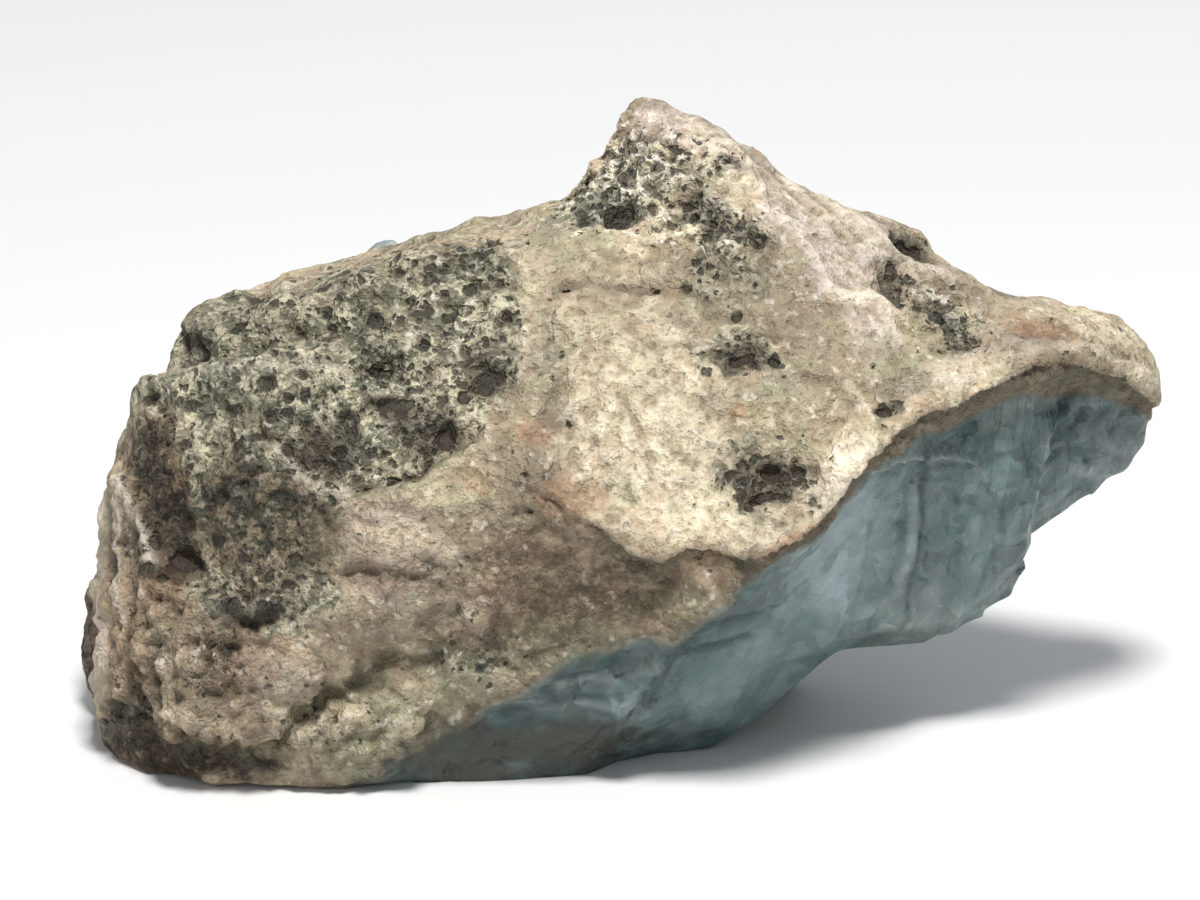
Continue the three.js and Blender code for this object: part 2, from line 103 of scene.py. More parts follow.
BLACK_SPOTS = [
    (-17, 19.3, 3.1, 1.7, 0, 1.2), (-11, 20.6, 2.4, 1.2, -10, 0.8), (-26, 14.6, 2, 2.6, 20, 1),
    (-27.2, 18, 1.2, 1.8, 10, 0.7), (-20.8, 10.4, 2.6, 1.3, 15, 0.7), (-8.7, 30.8, 1.6, 1, 0, 0.6),
    (-13.3, 24.6, 1.3, 1.1, 0, 0.7), (-7, 24.9, 1.7, 1.1, 0, 0.6), (-20.9, 18.6, 0.8, 0.9, 0, 0.8),
    (-21.6, 16.8, 1, 1, 0, 0.7), (-0.6, 33.4, 2, 1.1, 0, 0.9), (5, 33.6, 2, 1.2, -30, 0.8),
    (2.2, 37.4, 2, 0.9, 0, 0.5), (-2.8, 35, 1.6, 0.7, 30, 0.8), (6.4, 36.3, 0.9, 0.5, 0, 0.8),
    (7.4, 31.9, 1.4, 0.7, -30, 0.7), (5, 30.5, 0.7, 0.6, 0, 0.5), (7.4, 24.7, 2.2, 0.9, 0, 0.9),
    (8.9, 17.6, 2.3, 1.7, 10, 0.85), (9.3, 20.2, 1.2, 0.6, 0, 0.5), (15.6, 21.7, 1, 0.6, 0, 0.8),
    (15.9, 29, 0.9, 1.7, 10, 0.8), (19.2, 26.6, 2.4, 0.8, -40, 0.7), (17.3, 31.2, 1.5, 0.7, -25, 0.8),
    (22, 29, 1.3, 0.5, -15, 0.6), (-7.3, 7.4, 1, 0.9, 30, 0.5), (-12.5, 1.2, 1.3, 0.5, 10, 1),
    (-29, 2.8, 2, 2, 0, 1.1), (-25.4, 1.7, 3, 1, 0, 0.8), (-31.2, 6, 0.9, 3.4, 0, 0.7),
    (-24, 1.5, 2.6, 0.6, -10, 0.7), (-20.6, 1.2, 2, 0.6, 0, 0.8), (-22.3, 8, 0.8, 0.8, 0, 0.7),
    (-28.2, 13.6, 0.5, 2.4, 12, 0.6),
]
# Places outside the dark patch that are of the same dark rock.
DARK_PLACES = [
    (7.4, 25, 3, 1.6, 0, 0.85), (9, 17.8, 2.8, 2.5, 0, 0.85), (-25.6, 9.6, 2, 1.2, 0, 0.35),
    (-18.6, 6.6, 2, 1.4, 30, 0.4), (2, 35.3, 4.4, 2, 5, 0.8), (5.6, 32.6, 3.4, 1.6, -25, 0.75),
    (-1.8, 33.6, 2.8, 1.4, 10, 0.8), (6.2, 30, 2.2, 2.8, 15, 0.55), (18.4, 27.2, 3.4, 1.6, -40, 0.5),
    (8.9, 19, 1.8, 2, 0, 0.4), (-4, 25, 1.4, 3, 0, 0.5),
]
SPECKLED = [
    (1.5, 35.6, 4.8, 2.6, 10, 1), (4.5, 32.6, 3.5, 2.2, -20, 0.9), (-1.5, 33.8, 3, 1.6, 10, 0.9),
    (18, 27.5, 3.4, 2, -40, 0.9), (-11, 26, 4.5, 5, 0, 0.7), (8.9, 17.8, 2.6, 1.9, 10, 0.9),
    (-20, 11.6, 3.6, 2.6, 0, 0.8), (-24, 7.4, 2.6, 2, 0, 0.9), (-29, 9, 1, 5, 0, 0.6),
    (-7.6, 7.6, 3, 1.4, 0, 0.7), (-12.4, 13.9, 4, 1.9, -20, 0.5), (-25, 5, 3, 2.6, 0, 0.6),
    (-17, 3.4, 3, 1.5, 20, 0.7), (-8.5, 10.3, 1.6, 1, 0, 0.9), (27, 26, 3.2, 1.5, -10, 0.5),
]
# Pale places. The mark at (13.4, 18.7) is a painted highlight on the bulge of the lip.
PALE = [
    (-12.6, 14, 3, 1.5, -15, 0.8), (-30.6, 12, 0.5, 4.6, 0, 0.8), (-25.8, 7.6, 1.2, 1.4, 0, 0.8),
    (-22.4, 4, 1.6, 0.8, 10, 0.7), (-19.6, 5.2, 0.9, 1.1, 0, 0.6), (-24.6, 10.4, 0.9, 0.6, 0, 0.5),
    (-12.4, 3.4, 1, 0.9, 0, 0.5), (21, 27, 2, 0.7, -20, 0.5), (1.6, 22, 4.4, 7.5, 0, 1),
    (5.5, 16.5, 6, 3, 0, 0.9), (13, 18, 2.2, 2.5, 0, 1), (-3, 27, 4, 4, 0, 0.5),
    (-11.8, 14.4, 2.8, 0.9, -18, 0.9), (-8.5, 10.2, 1.4, 0.7, 0, 0.9), (-28.2, 16.6, 0.6, 1.6, 20, 0.9),
    (-29.9, 16.2, 0.7, 1.8, 0, 0.8), (22, 24.6, 3.5, 0.6, 10, 0.7), (27, 25.2, 2, 0.6, 0, 0.7),
    (7.8, 34.6, 1.2, 0.9, -30, 1), (2.4, 37.1, 1, 0.5, 0, 0.9), (14, 28.3, 1.6, 0.5, 0, 0.7),
    (-20, 23.9, 6.5, 0.5, 0, 0.6), (-25.5, 4, 1.4, 0.8, 0, 0.9), (13.4, 18.7, 0.8, 0.6, 0, 1),
    (-22.5, 21.2, 0.7, 0.3, 0, 1), (-6.8, 26.7, 0.8, 0.5, 0, 1), (-16, 3.8, 2, 0.8, 25, 0.8),
    (27.5, 27, 4, 1.2, -10, 0.5), (30.5, 24.6, 1.4, 2, 10, 0.7), (12, 33.4, 5, 0.8, -35, 0.6),
    (-12.2, 5.9, 0.6, 0.5, 0, 0.8), (-28.9, 10.3, 1, 1, 0, 0.5), (-29.5, 7.3, 0.8, 0.8, 0, 0.7),
    (-29.2, 5.4, 0.4, 0.4, 0, 0.8), (5.2, 15.6, 2.4, 0.9, -20, 0.8),
]
LILAC = [
    (11, 33, 2.2, 5.5, 38, 1), (14.6, 30.5, 2, 3.4, 30, 0.9), (14.6, 26.6, 1.2, 2.2, 10, 0.9),
    (5, 38, 4.5, 1.6, -20, 0.6), (-12.6, 14.2, 3.2, 2, -15, 0.9), (-12.5, 11.6, 3, 1.4, 0, 0.4),
    (-9, 10.4, 1.8, 1.2, 0, 0.3), (-19.5, 6, 2.5, 2, 0, 0.5), (19, 23.6, 3, 0.8, 25, 0.7),
    (1.8, 18.1, 0.5, 0.5, 0, 1), (0.6, 32.4, 0.8, 0.4, 0, 0.9), (-16, 20, 1.5, 1, 0, 0.5),
]
RUST = [
    (24.6, 26.4, 2.2, 0.7, -15, 0.6), (10.2, 14.4, 3.2, 0.5, 30, 0.9), (6.9, 21.6, 0.7, 0.5, 0, 0.8),
    (2.9, 28.5, 1, 0.4, 0, 0.5), (-4.8, 20.6, 1.2, 0.8, 0, 0.6), (5, 12.6, 2, 1.2, 0, 0.4),
    (-28.9, 9.5, 1.3, 6, 3, 0.5), (-2.5, 16.5, 2, 1.2, 0, 0.6), (-25.9, 10.7, 1.4, 1.2, 0, 0.5),
    (-18.6, 8.3, 0.8, 0.7, 0, 0.5), (-22, 5.8, 1.2, 0.8, 0, 0.4), (-7.7, 17.6, 1.4, 1, 0, 0.5),
]
MOSS = [
    (-3, 8.6, 4.4, 1.4, 15, 1), (3, 11, 2.8, 1.4, 10, 0.8), (-9.4, 6.2, 3, 1.6, 20, 0.9),
    (-6, 27.6, 1.4, 4, 0, 0.5), (-14.6, 3.6, 4.2, 2.8, 20, 1), (-28.9, 10.3, 1.2, 1.2, 0, 1),
    (-29.5, 7.3, 1, 1, 0, 0.9), (-29.2, 5.4, 0.6, 0.6, 0, 0.9), (-2.5, 31.5, 2.5, 2, 0, 0.7),
    (6, 28.6, 3.5, 2.5, 0, 0.7), (30.2, 25.4, 2, 2.2, 0, 0.5), (17, 24.6, 3, 2, -20, 0.7),
    (2, 24, 1.5, 2, 0, 0.5), (8.8, 22.8, 1.3, 1, 0, 1), (-19, 13.6, 3.6, 2, 0, 0.8),
    (0.6, 17, 1.6, 1, 0, 0.6), (-20.5, 17, 4, 3.5, 0, 0.8), (-22, 25, 4, 1.5, 0, 0.6),
    (-13.5, 24.6, 2, 2, 0, 0.7), (-8, 17, 2, 1.5, 0, 0.4), (-4.5, 8, 3, 1, 30, 0.5),
]
BROWN = [
    (2, 38.8, 2.6, 1.6, -20, 1), (24.6, 25.8, 3, 1.4, 0, 0.9), (5, 26.6, 5, 2.6, 10, 0.7),
    (1, 30.4, 5, 1.4, 0, 0.5), (8, 29.6, 3, 3, 0, 0.5), (-3.4, 20, 1.6, 3.4, 0, 0.75),
    (-7.6, 14.6, 3, 1.8, -10, 0.8), (-29.4, 13, 0.5, 3, 0, 0.8), (-23.6, 5.6, 1, 0.5, 40, 0.8),
    (-26.8, 5.8, 0.6, 1.6, 10, 0.8), (-20.8, 3.6, 0.7, 1.4, -20, 0.8), (-17.4, 4, 0.8, 0.5, 30, 0.6),
    (12.4, 24.6, 1.6, 1.6, 0, 0.5), (3, 19.4, 0.7, 2, 10, 0.5), (10.6, 27.2, 3.8, 4, 20, 0.55),
    (11.4, 22, 2.4, 2.6, 0, 0.45), (0, 29, 5.5, 0.9, -3, 0.6), (-3.4, 17.4, 2.4, 2.6, 0, 0.5),
    (-22, 6.6, 5, 3, 20, 0.55), (-14, 9.4, 5, 2, 20, 0.7), (-6, 15.6, 3, 2, 0, 0.45),
    (-6.4, 20.4, 2, 3, 0, 0.4), (-3, 31.6, 3, 1.6, 10, 0.3), (20.4, 28.2, 2.4, 0.8, -20, 0.4),
    (16, 23, 2.4, 1, 20, 0.5), (-9, 11.6, 7, 3.4, -10, 0.7), (-2, 10.4, 5, 2.6, 10, 0.9),
    (2, 12, 3, 1.4, 0, 0.9), (-31.5, 7, 1.3, 5.5, 0, 1), (-28.6, 2, 3, 2, 0, 1), (-21.5, 1.3, 4.5, 1.2, 0, 1),
    (-26.5, 17, 2, 3, 10, 0.9), (-9.5, 6.4, 4, 1.6, 20, 0.5), (-18, 6.6, 3, 1, 40, 0.5),
    (-16.4, 0.5, 2.6, 0.6, -10, 0.9), (-5.5, 1.9, 7.6, 1.7, 6, 1), (17.6, 8.4, 4, 0.8, 3, 0.5),
    (23.6, 12.4, 1.2, 2.4, -20, 0.35), (26.4, 23.6, 5, 0.8, -5, 0.6), (-10.4, 2.5, 3.4, 1.1, 25, 1),
    (-8, 0.8, 6, 0.9, 0, 1),
]
# Places darker and browner than their rock would be: painted shade, with some dark spots of the rock among them.
# Below it, places that are lighter: painted light.
PAINTED_SHADE_AND_DARK_SPOTS = [
    (-20.5, 14.6, 4.8, 5, 0, 0.84), (-26.3, 16, 2.6, 5, 14, 1.25), (-3, 11.2, 8, 3.6, 0, 0.76),
    (-13, 12.2, 4.6, 1.3, -8, 0.5), (-22.5, 6, 6.5, 4.4, 0, 0.46), (-26.6, 1.8, 5.6, 1.8, -4, 1.3),
    (-31.4, 6, 1.1, 5.4, 0, 0.9), (-28.1, 12, 0.8, 4, 8, 0.6), (-29.6, 9.5, 1.4, 7, 0, 0.44),
    (-12.4, 14, 4.4, 2.4, -15, 0.38), (25, 25, 7.4, 0.95, 0, 0.5), (-17, 19.2, 2.6, 1.6, 0, 0.85),
    (-25.3, 13.6, 1.7, 1.4, 10, 1), (-22.3, 8, 1, 0.9, 0, 0.95), (-20.3, 9.8, 2, 0.8, 15, 0.9),
    (-10.4, 20.6, 2.4, 1.2, -10, 0.55), (-21.4, 18, 1.9, 1.6, 0, 0.75), (-19, 16.8, 1.4, 0.9, 0, 0.95),
    (2, 28.8, 8, 2.8, 0, 0.24), (7.3, 24.8, 2.2, 1, 0, 0.7), (8.9, 17.8, 2.3, 1.9, 0, 0.6),
    (-7.4, 23.4, 1.6, 1.4, 30, 0.6), (-4.6, 16.6, 2, 1.6, 0, 0.35), (-12.4, 1.2, 1.4, 0.6, 10, 0.8),
]
# Painted light: places made lighter, with a painted highlight on the bulge of the lip at (13.3, 18.9).
PAINTED_LIGHT = [
    (2, 37, 4.4, 2.6, -10, 1.05), (1.5, 33.4, 6, 2.2, -8, 1), (12.2, 22.8, 3, 3.2, 0, 0.4),
    (13.3, 18.9, 1.1, 0.8, 0, 0.9), (-12, 14.4, 3, 0.7, -20, 0.35), (-29.2, 9.8, 0.9, 1.2, 0, 0.4),
    (-16, 3.8, 2.4, 1, 25, 0.3), (10.5, 33.5, 1.4, 3.4, 40, 0.2),
]
# Lines on the front: its places, half width and strength.
# Grooves are cut into the relief and darkened: partly dark green-brown rock, partly painted shade in the creases.
GROOVES = [
    ([(-19.4, 2.4), (-18.9, 3.2), (-17, 5), (-14.8, 6), (-13.4, 7.4), (-11.7, 7.5), (-10.4, 7.4)], 0.3, 0.8),
    ([(6, 38.6), (9.4, 35.6), (12.4, 32.6), (14.6, 29.6)], 0.12, 0.5),
    ([(8.4, 37.4), (11.6, 34.4), (14.8, 31)], 0.1, 0.5),
    ([(-2.6, 25), (-3.6, 22.6), (-2.8, 20.4), (-3.8, 17.6)], 0.25, 0.3),
    ([(0.6, 26.4), (2.4, 25.2), (4.4, 25.6)], 0.2, 0.4),
    ([(-3.6, 28.8), (-1.4, 29.2), (0.6, 28.8), (3, 28.8), (5.4, 28)], 0.3, 0.6),
    ([(-1, 19), (0.4, 18), (1, 16.4)], 0.2, 0.4), ([(10.4, 24), (12.6, 23), (14, 21)], 0.25, 0.4),
    ([(-29.7, 16.6), (-29.6, 13), (-29.2, 11.4)], 0.2, 0.8),
    ([(-26.6, 9), (-26.9, 6.4), (-26.4, 4.6)], 0.25, 0.8),
    ([(-24.6, 6), (-22.8, 5.2), (-21, 5.6)], 0.25, 0.7),
    ([(-15.8, 12.4), (-12.6, 12.2), (-9.6, 11.6)], 0.25, 0.5),
    ([(-28.1, 16), (-27.9, 13.5), (-28, 11), (-28.3, 8), (-28.3, 4)], 0.35, 0.8),
    ([(-29.6, 4.4), (-27.5, 3.5), (-26.6, 2.7), (-22, 1.9), (-19.5, 1.3)], 0.6, 1),
    ([(-8.2, 20), (-9.6, 18.9), (-12.4, 17.6), (-14.8, 17)], 0.3, 0.9),
    ([(-1.4, 15), (-0.4, 14.2), (1, 13.3), (2.6, 12.9), (4, 13.6), (5.6, 13.4), (7, 13)], 0.35, 0.8),
    ([(0.4, 22.4), (1.3, 20.6), (1.7, 19.6), (1.9, 17.8)], 0.18, 0.6),
    ([(15.2, 30.6), (15.9, 28.6), (17.5, 27.3), (19.8, 25.6)], 0.25, 0.7),
    ([(16.3, 31.8), (17.2, 31), (18.4, 30.9)], 0.3, 0.9),
    ([(-12, 2.2), (-10.9, 3.2), (-10.4, 4.6)], 0.3, 0.6),
    ([(-28, 23.9), (-26, 24), (-24.6, 24.4), (-23.4, 25.6)], 0.3, 0.6),
    ([(-7.6, 16.4), (-6.6, 15.6), (-5.4, 15.9), (-4.6, 16.4)], 0.2, 0.5),
]
# Raised pale lines: pale rock, and painted highlights along the ridges of the right flank and on the bulge of the
# lip.
CRESTS = [
    ([(19, 22.7), (22, 24.3), (24.6, 25.2), (27.4, 25.1), (29.4, 24.4)], 0.25, 0.4),
    ([(11.4, 16.6), (12.8, 18), (13.8, 19.4)], 0.7, 0.7),
    ([(-30.5, 17), (-30.4, 13), (-29.8, 9), (-30.2, 5)], 0.3, 0.8),
    ([(-29, 16.5), (-28.9, 12), (-28.7, 9.5)], 0.25, 0.7),
    ([(9.4, 33.4), (11.2, 30.6), (12.3, 29), (13.4, 28.3), (14.8, 28.4), (15.8, 27.2), (16.2, 25.6)], 0.28, 0.9),
    ([(12.3, 34), (13.9, 32.8), (15, 32.2), (16.1, 31.5), (17.2, 30.4), (18.3, 29.8), (19.6, 29.2)], 0.24, 0.9),
    ([(-29, 17.7), (-28.2, 16.2), (-27.5, 14.6), (-26.9, 13.1)], 0.35, 1),
    ([(-19.4, 19.3), (-18.2, 18), (-16.9, 17.2), (-15.6, 16.9)], 0.3, 0.8),
    ([(-26.6, 24), (-24, 24), (-20, 24.2), (-15.4, 24)], 0.35, 0.6),
    ([(2.6, 36.2), (4.6, 35.2), (6.4, 33.6), (8.6, 32.2)], 0.3, 0.4),
    ([(16.5, 23.2), (19, 24.6), (22, 25.4), (24.6, 25.6)], 0.3, 0.4),
]
# Dark teal lines on the blue: darker teal pectolite, and painted shade along its steps and creases and under the fold
# of the rind.
TEAL_AND_SHADE_LINES = [
    ([(2.9, 7.7), (3.6, 8.6), (5.4, 9.6), (7.4, 9.9)], 0.6, 1), ([(3.5, 8), (5.4, 8.1), (7.6, 8.7)], 0.3, 1),
    ([(1.6, 5.6), (3, 7.4)], 0.3, 0.9), ([(1.6, 5.1), (2.4, 6), (3.1, 7)], 0.3, 0.8),
    ([(-3.6, 6.6), (-1.4, 7.2), (1, 7.2)], 0.6, 0.7), ([(-6.6, 4.4), (-2.5, 5.3), (0.2, 5.6)], 0.2, 0.8),
    ([(3, 3), (5.6, 2.8)], 0.9, 0.5), ([(26, 21.4), (28, 21.6), (29.6, 20.9)], 1.2, 0.8),
    ([(25.5, 22.8), (25.3, 21.4), (25.6, 20.6)], 0.3, 1),
    ([(18.6, 20), (20.4, 19.4), (21.6, 20.4)], 0.8, 0.6), ([(17.7, 19), (17.7, 17.6)], 0.25, 1),
    ([(17.6, 17.6), (17.7, 15), (17.1, 12), (16.7, 9)], 0.2, 0.9),
    ([(19.6, 17), (20, 15), (19.8, 13)], 0.3, 0.5), ([(14.6, 15.4), (14.2, 12.4), (13.6, 9.8)], 0.12, 0.4),
    ([(22.4, 16.6), (22.2, 14), (21, 11)], 0.2, 0.5), ([(20.6, 18.6), (22.8, 19.2), (24.4, 18.2)], 0.25, 0.6),
    ([(-8, 3.4), (-4, 4), (-1, 3.6)], 0.4, 0.6), ([(26, 19.6), (28, 19.4), (30.2, 18.9)], 0.25, 0.6),
    ([(-2.6, 4.6), (1, 4.4)], 0.2, 0.5), ([(27.6, 17.6), (29.4, 18.4)], 0.4, 0.4),
    ([(23.2, 21.6), (24, 20.4)], 0.4, 0.4),
]
MILKY = [
    ([(16, 9.5), (19, 9.2), (21.4, 10.4)], 0.8, 0.6), ([(22, 19.8), (23.4, 18.6)], 0.3, 0.5),
    ([(26.2, 18.6), (28.6, 17.8)], 0.3, 0.5), ([(17.3, 17.4), (17.2, 15), (16.4, 12), (15.8, 9.4)], 0.3, 0.6),
    ([(16, 16), (15.2, 13), (14, 10.6)], 0.5, 0.4),
    ([(14, 18), (15.5, 18.4), (17, 19), (18, 18.8), (19.3, 19.1), (20.5, 18.8), (21.2, 18)], 0.2, 1),
    ([(25.1, 20.4), (24.5, 17.6), (24.1, 14.6)], 0.2, 0.8), ([(-3.4, 6), (-0.6, 6.5), (2.2, 7.2)], 0.3, 0.8),
    ([(-5.6, 4.9), (-2, 4.9), (0.6, 5)], 0.25, 0.6), ([(11, 12.4), (13.6, 13), (15, 14.6)], 1.2, 0.5),
    ([(12, 14.4), (14, 15.6)], 0.8, 0.4), ([(20.6, 10.4), (22.4, 11.6)], 0.5, 0.4),
    ([(21.4, 20.8), (23.4, 22)], 0.5, 0.5), ([(0.2, 4.5), (-0.4, 5.6)], 0.2, 0.7),
    ([(12, 10.4), (15, 10.4), (18.6, 11)], 0.6, 0.4),
]
ICE = [
    ([(13.6, 16.4), (13.2, 14), (12.2, 11.6)], 2.2, 0.8), ([(8, 8), (5.6, 5.4), (4, 3.4)], 1.6, 0.4),
    ([(21, 16.6), (22.6, 13)], 1.4, 0.4),
]
SLICK = [
    (8, 6.4, 5, 3.2, 42, 1), (13.4, 13.6, 2, 3.4, -15, 0.6), (3.6, 3.6, 3, 1.6, 20, 0.7),
]
LUMPY = [
    (-24, 6.4, 6, 6, 0, 1), (-30, 9, 2.6, 8, 0, 0.8), (-15.6, 3.6, 5, 2.8, 20, 0.7),
    (-12, 13.4, 5, 3, -10, 0.6), (-17, 21, 9, 5, 10, 0.5), (3, 34, 6, 3.4, 0, 0.7),
    (19, 27, 4, 2.4, -30, 0.6), (-9, 9.4, 3, 2, 20, 0.6), (25, 25, 8, 1.6, 0, 0.5),
]
LEDGES = [
    # step across the dark patch
    {"line": [(-13, 23.4), (-16.5, 24), (-20, 24.1), (-24, 24), (-27.6, 23.3)], "rise": 0.4, "fade": 1.4},
    # pale rock banked up under the dark patch
    {"line": [(-8.4, 20), (-11, 18.2), (-14.5, 17.1), (-17, 17.2), (-19.5, 19.3)], "rise": 0.35, "fade": 1.2},
    # scalloped lip of the pale plate
    {
        "line": [
            (-3.6, 16.6), (-1.4, 15.2), (-0.4, 14.4), (1, 13.6), (2.6, 13.1), (4, 13.9), (5.6, 13.7), (7.4, 13.2),
        ],
        "rise": 0.45,
        "fade": 1.4,
    },
    # fold of the rind over the blue
    {"line": RIM, "rise": 0.3, "fade": 1},
    # blue: crease beside the right facet
    {"line": [(23.6, 14.4), (24.2, 17), (24.8, 19.6), (25.3, 22.4)], "rise": 0.3, "fade": 1.5},
    # blue: scalloped break near the seam
    {
        "line": [(14, 18), (15.5, 18.4), (17, 19), (18, 18.6), (19.5, 19), (20.8, 18.6), (21.5, 17.4)],
        "rise": 0.35,
        "fade": 0.9,
    },
    # blue: step above the smooth facet
    {"line": [(0.4, 4.6), (1.8, 5.9), (2.9, 7.5), (3.2, 8.5), (5.4, 9.9), (7.8, 10.4)], "rise": 0.4, "fade": 1.1},
]

# Lump of blue behind the upper edge, that shows over it, in mm.
PEEPING_LUMP = (-13.6, 4.2, 30.2)
PEEPING_LUMP_SIZE = 1.5
PEEPING_LUMP_RISE = 1.5

# Half widths of the change from rind to blue, in mm. It is wider on the lower slope.
SEAM_BORDER = 0.15
EXTRA_BORDER_ON_SLOPE = 0.4

# Relief, in mm.
SWELL_HEIGHT = 0.3
FOLD_HEIGHT = 0.85
SMALL_FOLD_HEIGHT = 0.5
HOLE_DEPTH = 0.4
SPOT_DEPTH = 0.25
GROOVE_DEPTH = 0.45
CREST_HEIGHT = 0.3
SPLIT_HEIGHT = 0.22
FLAKE_HEIGHT = 0.42
FIBRE_HEIGHT = 0.02
TEAL_DEPTH = 0.1
MILKY_HEIGHT = 0.05
RIND_BUMP = 0.85
BLUE_BUMP = 0.6
# Share of the relief that is left where the skin is seen edge on, so that the outline stays.
EDGE_ON_RIND = 0.45
EDGE_ON_BLUE = 0.08

BLUE_ROUGHNESS = 0.42
# Strength of the painted light, and the filter that painted shade and the dark spots with it lay over the rock's
# colour.
PAINTED_LIGHT_GAIN = 0.55
SHADE_AND_SPOT_FILTER = (0.30, 0.22, 0.175, 1)

# Marks and lines by the name that the relief and the shaders know them by.
PAINTED = {
    "speckled": SPECKLED, "black": BLACK_SPOTS, "pale": PALE, "lilac": LILAC, "rust": RUST, "moss": MOSS,
    "brown": BROWN, "painted_shade_and_dark_spots": PAINTED_SHADE_AND_DARK_SPOTS, "painted_light": PAINTED_LIGHT, "slick": SLICK, "dark_places": DARK_PLACES, "lumpy": LUMPY,
}
DRAWN = {"groove": GROOVES, "crest": CRESTS, "teal_and_shade": TEAL_AND_SHADE_LINES, "milky": MILKY}
NOT_STORED = ("dark_places", "lumpy")
FIBRE_FAN = (24, 31)  # the fibres of the front spread from here
CELL_SPREAD = 31.7  # takes neighbouring facets to number cells of their own


def to_scene(x, y, z):
    """A face-on place in millimetres, in the scene's metres."""
    back = y * math.cos(LEAN) + z * math.sin(LEAN) - BOX_SHIFT
    up = -y * math.sin(LEAN) + z * math.cos(LEAN) - FLOOR_DROP
    return Vector((x, back, up)) * MM


def turn_face_on(directions):
    x, y, z = directions.T
    return np.stack([x, y * math.cos(LEAN) - z * math.sin(LEAN), y * math.sin(LEAN) + z * math.cos(LEAN)], 1)


def to_face_on(places):
    """Scene places, as an array, in face-on millimetres."""
    return turn_face_on(places / MM + np.array([0, BOX_SHIFT, FLOOR_DROP]))


def add_camera():
    lens = bpy.data.cameras.new("camera")
    lens.sensor_width = SENSOR
    lens.lens = CAMERA_DISTANCE * SENSOR / PICTURE_WIDTH
    lens.clip_end = 10
    camera = bpy.data.objects.new("camera", lens)
    bpy.context.scene.collection.objects.link(camera)
    camera.location = to_scene(PICTURE_MIDDLE[0], -CAMERA_DISTANCE, PICTURE_MIDDLE[1])
    camera.rotation_euler = (math.radians(90) - LEAN, 0, 0)
    bpy.context.scene.camera = camera


def add_light(name, place, size, power, colour):
    lamp = bpy.data.lights.new(name, "AREA")
    lamp.size = size
    lamp.energy = power
    lamp.color = colour
    light = bpy.data.objects.new(name, lamp)
    bpy.context.scene.collection.objects.link(light)
    light.location = place
    aim = Vector((0, 0, 18 * MM))
    light.rotation_euler = (aim - Vector(place)).to_track_quat("-Z", "Y").to_euler()


def add_lights():
    add_light("key", (0.02, -0.16, 0.43), 0.09, 2.2, (1.0, 0.975, 0.94))
    add_light("front_fill", (-0.14, -0.60, 0.16), 0.3, 0.2, (0.97, 0.98, 1.0))
    add_light("back_fill", (0.20, 0.50, 0.40), 0.4, 0.8, (0.96, 0.98, 1.0))
    world = bpy.data.worlds.new("studio")
    bpy.context.scene.world = world
    world.use_nodes = True
    background = world.node_tree.nodes["Background"]
    background.inputs["Color"].default_value = (0.94, 0.96, 1.0, 1)
    background.inputs["Strength"].default_value = 0.3
    bpy.context.scene.view_settings.view_transform = "Standard"


def add_floor():
    floor_mesh = bpy.data.meshes.new("floor")
    shape = bmesh.new()
    bmesh.ops.create_grid(shape, x_segments=1, y_segments=1, size=3)
    shape.to_mesh(floor_mesh)
    shape.free()
    floor = bpy.data.objects.new("floor", floor_mesh)
    bpy.context.scene.collection.objects.link(floor)
    finish = bpy.data.materials.new("pale_floor")
    finish.use_nodes = True
    paint = finish.node_tree.nodes["Principled BSDF"]
    paint.inputs["Base Color"].default_value = (0.84, 0.85, 0.86, 1)
    paint.inputs["Roughness"].default_value = 0.9
    floor_mesh.materials.append(finish)


def smooth(value, low, high):
    share = np.clip((value - low) / (high - low), 0, 1)
    return share * share * (3 - 2 * share)


def bell(distance, width):
    return np.exp(-((distance / width) ** 2))


def line_distance(x, z, line):
    """Distance to a line in the face-on plane, positive on the left of its direction."""
    nearest = np.full(len(x), np.inf)
    side = np.ones(len(x))
    for (ax, az), (bx, bz) in zip(line, line[1:]):
        dx, dz = bx - ax, bz - az
        along = np.clip(((x - ax) * dx + (z - az) * dz) / (dx * dx + dz * dz), 0, 1)
        distance = np.hypot(x - ax - along * dx, z - az - along * dz)
        nearer = distance < nearest
        nearest = np.where(nearer, distance, nearest)
        side = np.where(nearer, np.where(dx * (z - az) - dz * (x - ax) >= 0, 1, -1), side)
    return side * nearest


def inside(x, z, ring):
    """Distance to the edge of a closed area, positive inside it."""
    distance = np.abs(line_distance(x, z, ring + ring[:1]))
    crossings = np.zeros(len(x), int)
    for (ax, az), (bx, bz) in zip(ring, ring[1:] + ring[:1]):
        if az != bz:
            straddles = (az > z) != (bz > z)
            crossings += straddles & (x < ax + (z - az) * (bx - ax) / (bz - az))
    return np.where(crossings % 2 == 1, distance, -distance)


def marks(x, z, places, wander):
    """How strongly each place is marked by the spots nearest to it, whose edges follow `wander`."""
    strongest = np.zeros(len(x))
    for across, up, width, height, turn, strength in places:
        turn = math.radians(turn)
        dx, dz = x - across, z - up
        u = (dx * math.cos(turn) + dz * math.sin(turn)) / width
        v = (-dx * math.sin(turn) + dz * math.cos(turn)) / height
        reach = np.hypot(u, v) + wander
        strongest = np.maximum(strongest, strength * smooth(-reach, -1.35, -0.55))
    return strongest


def streaks(x, z, lines, wander):
    """How strongly each place is marked by the lines nearest to it."""
    strongest = np.zeros(len(x))
    for line, width, strength in lines:
        distance = line_distance(x, z, line) + 0.5 * width * wander
        strongest = np.maximum(strongest, strength * bell(distance, width))
    return strongest


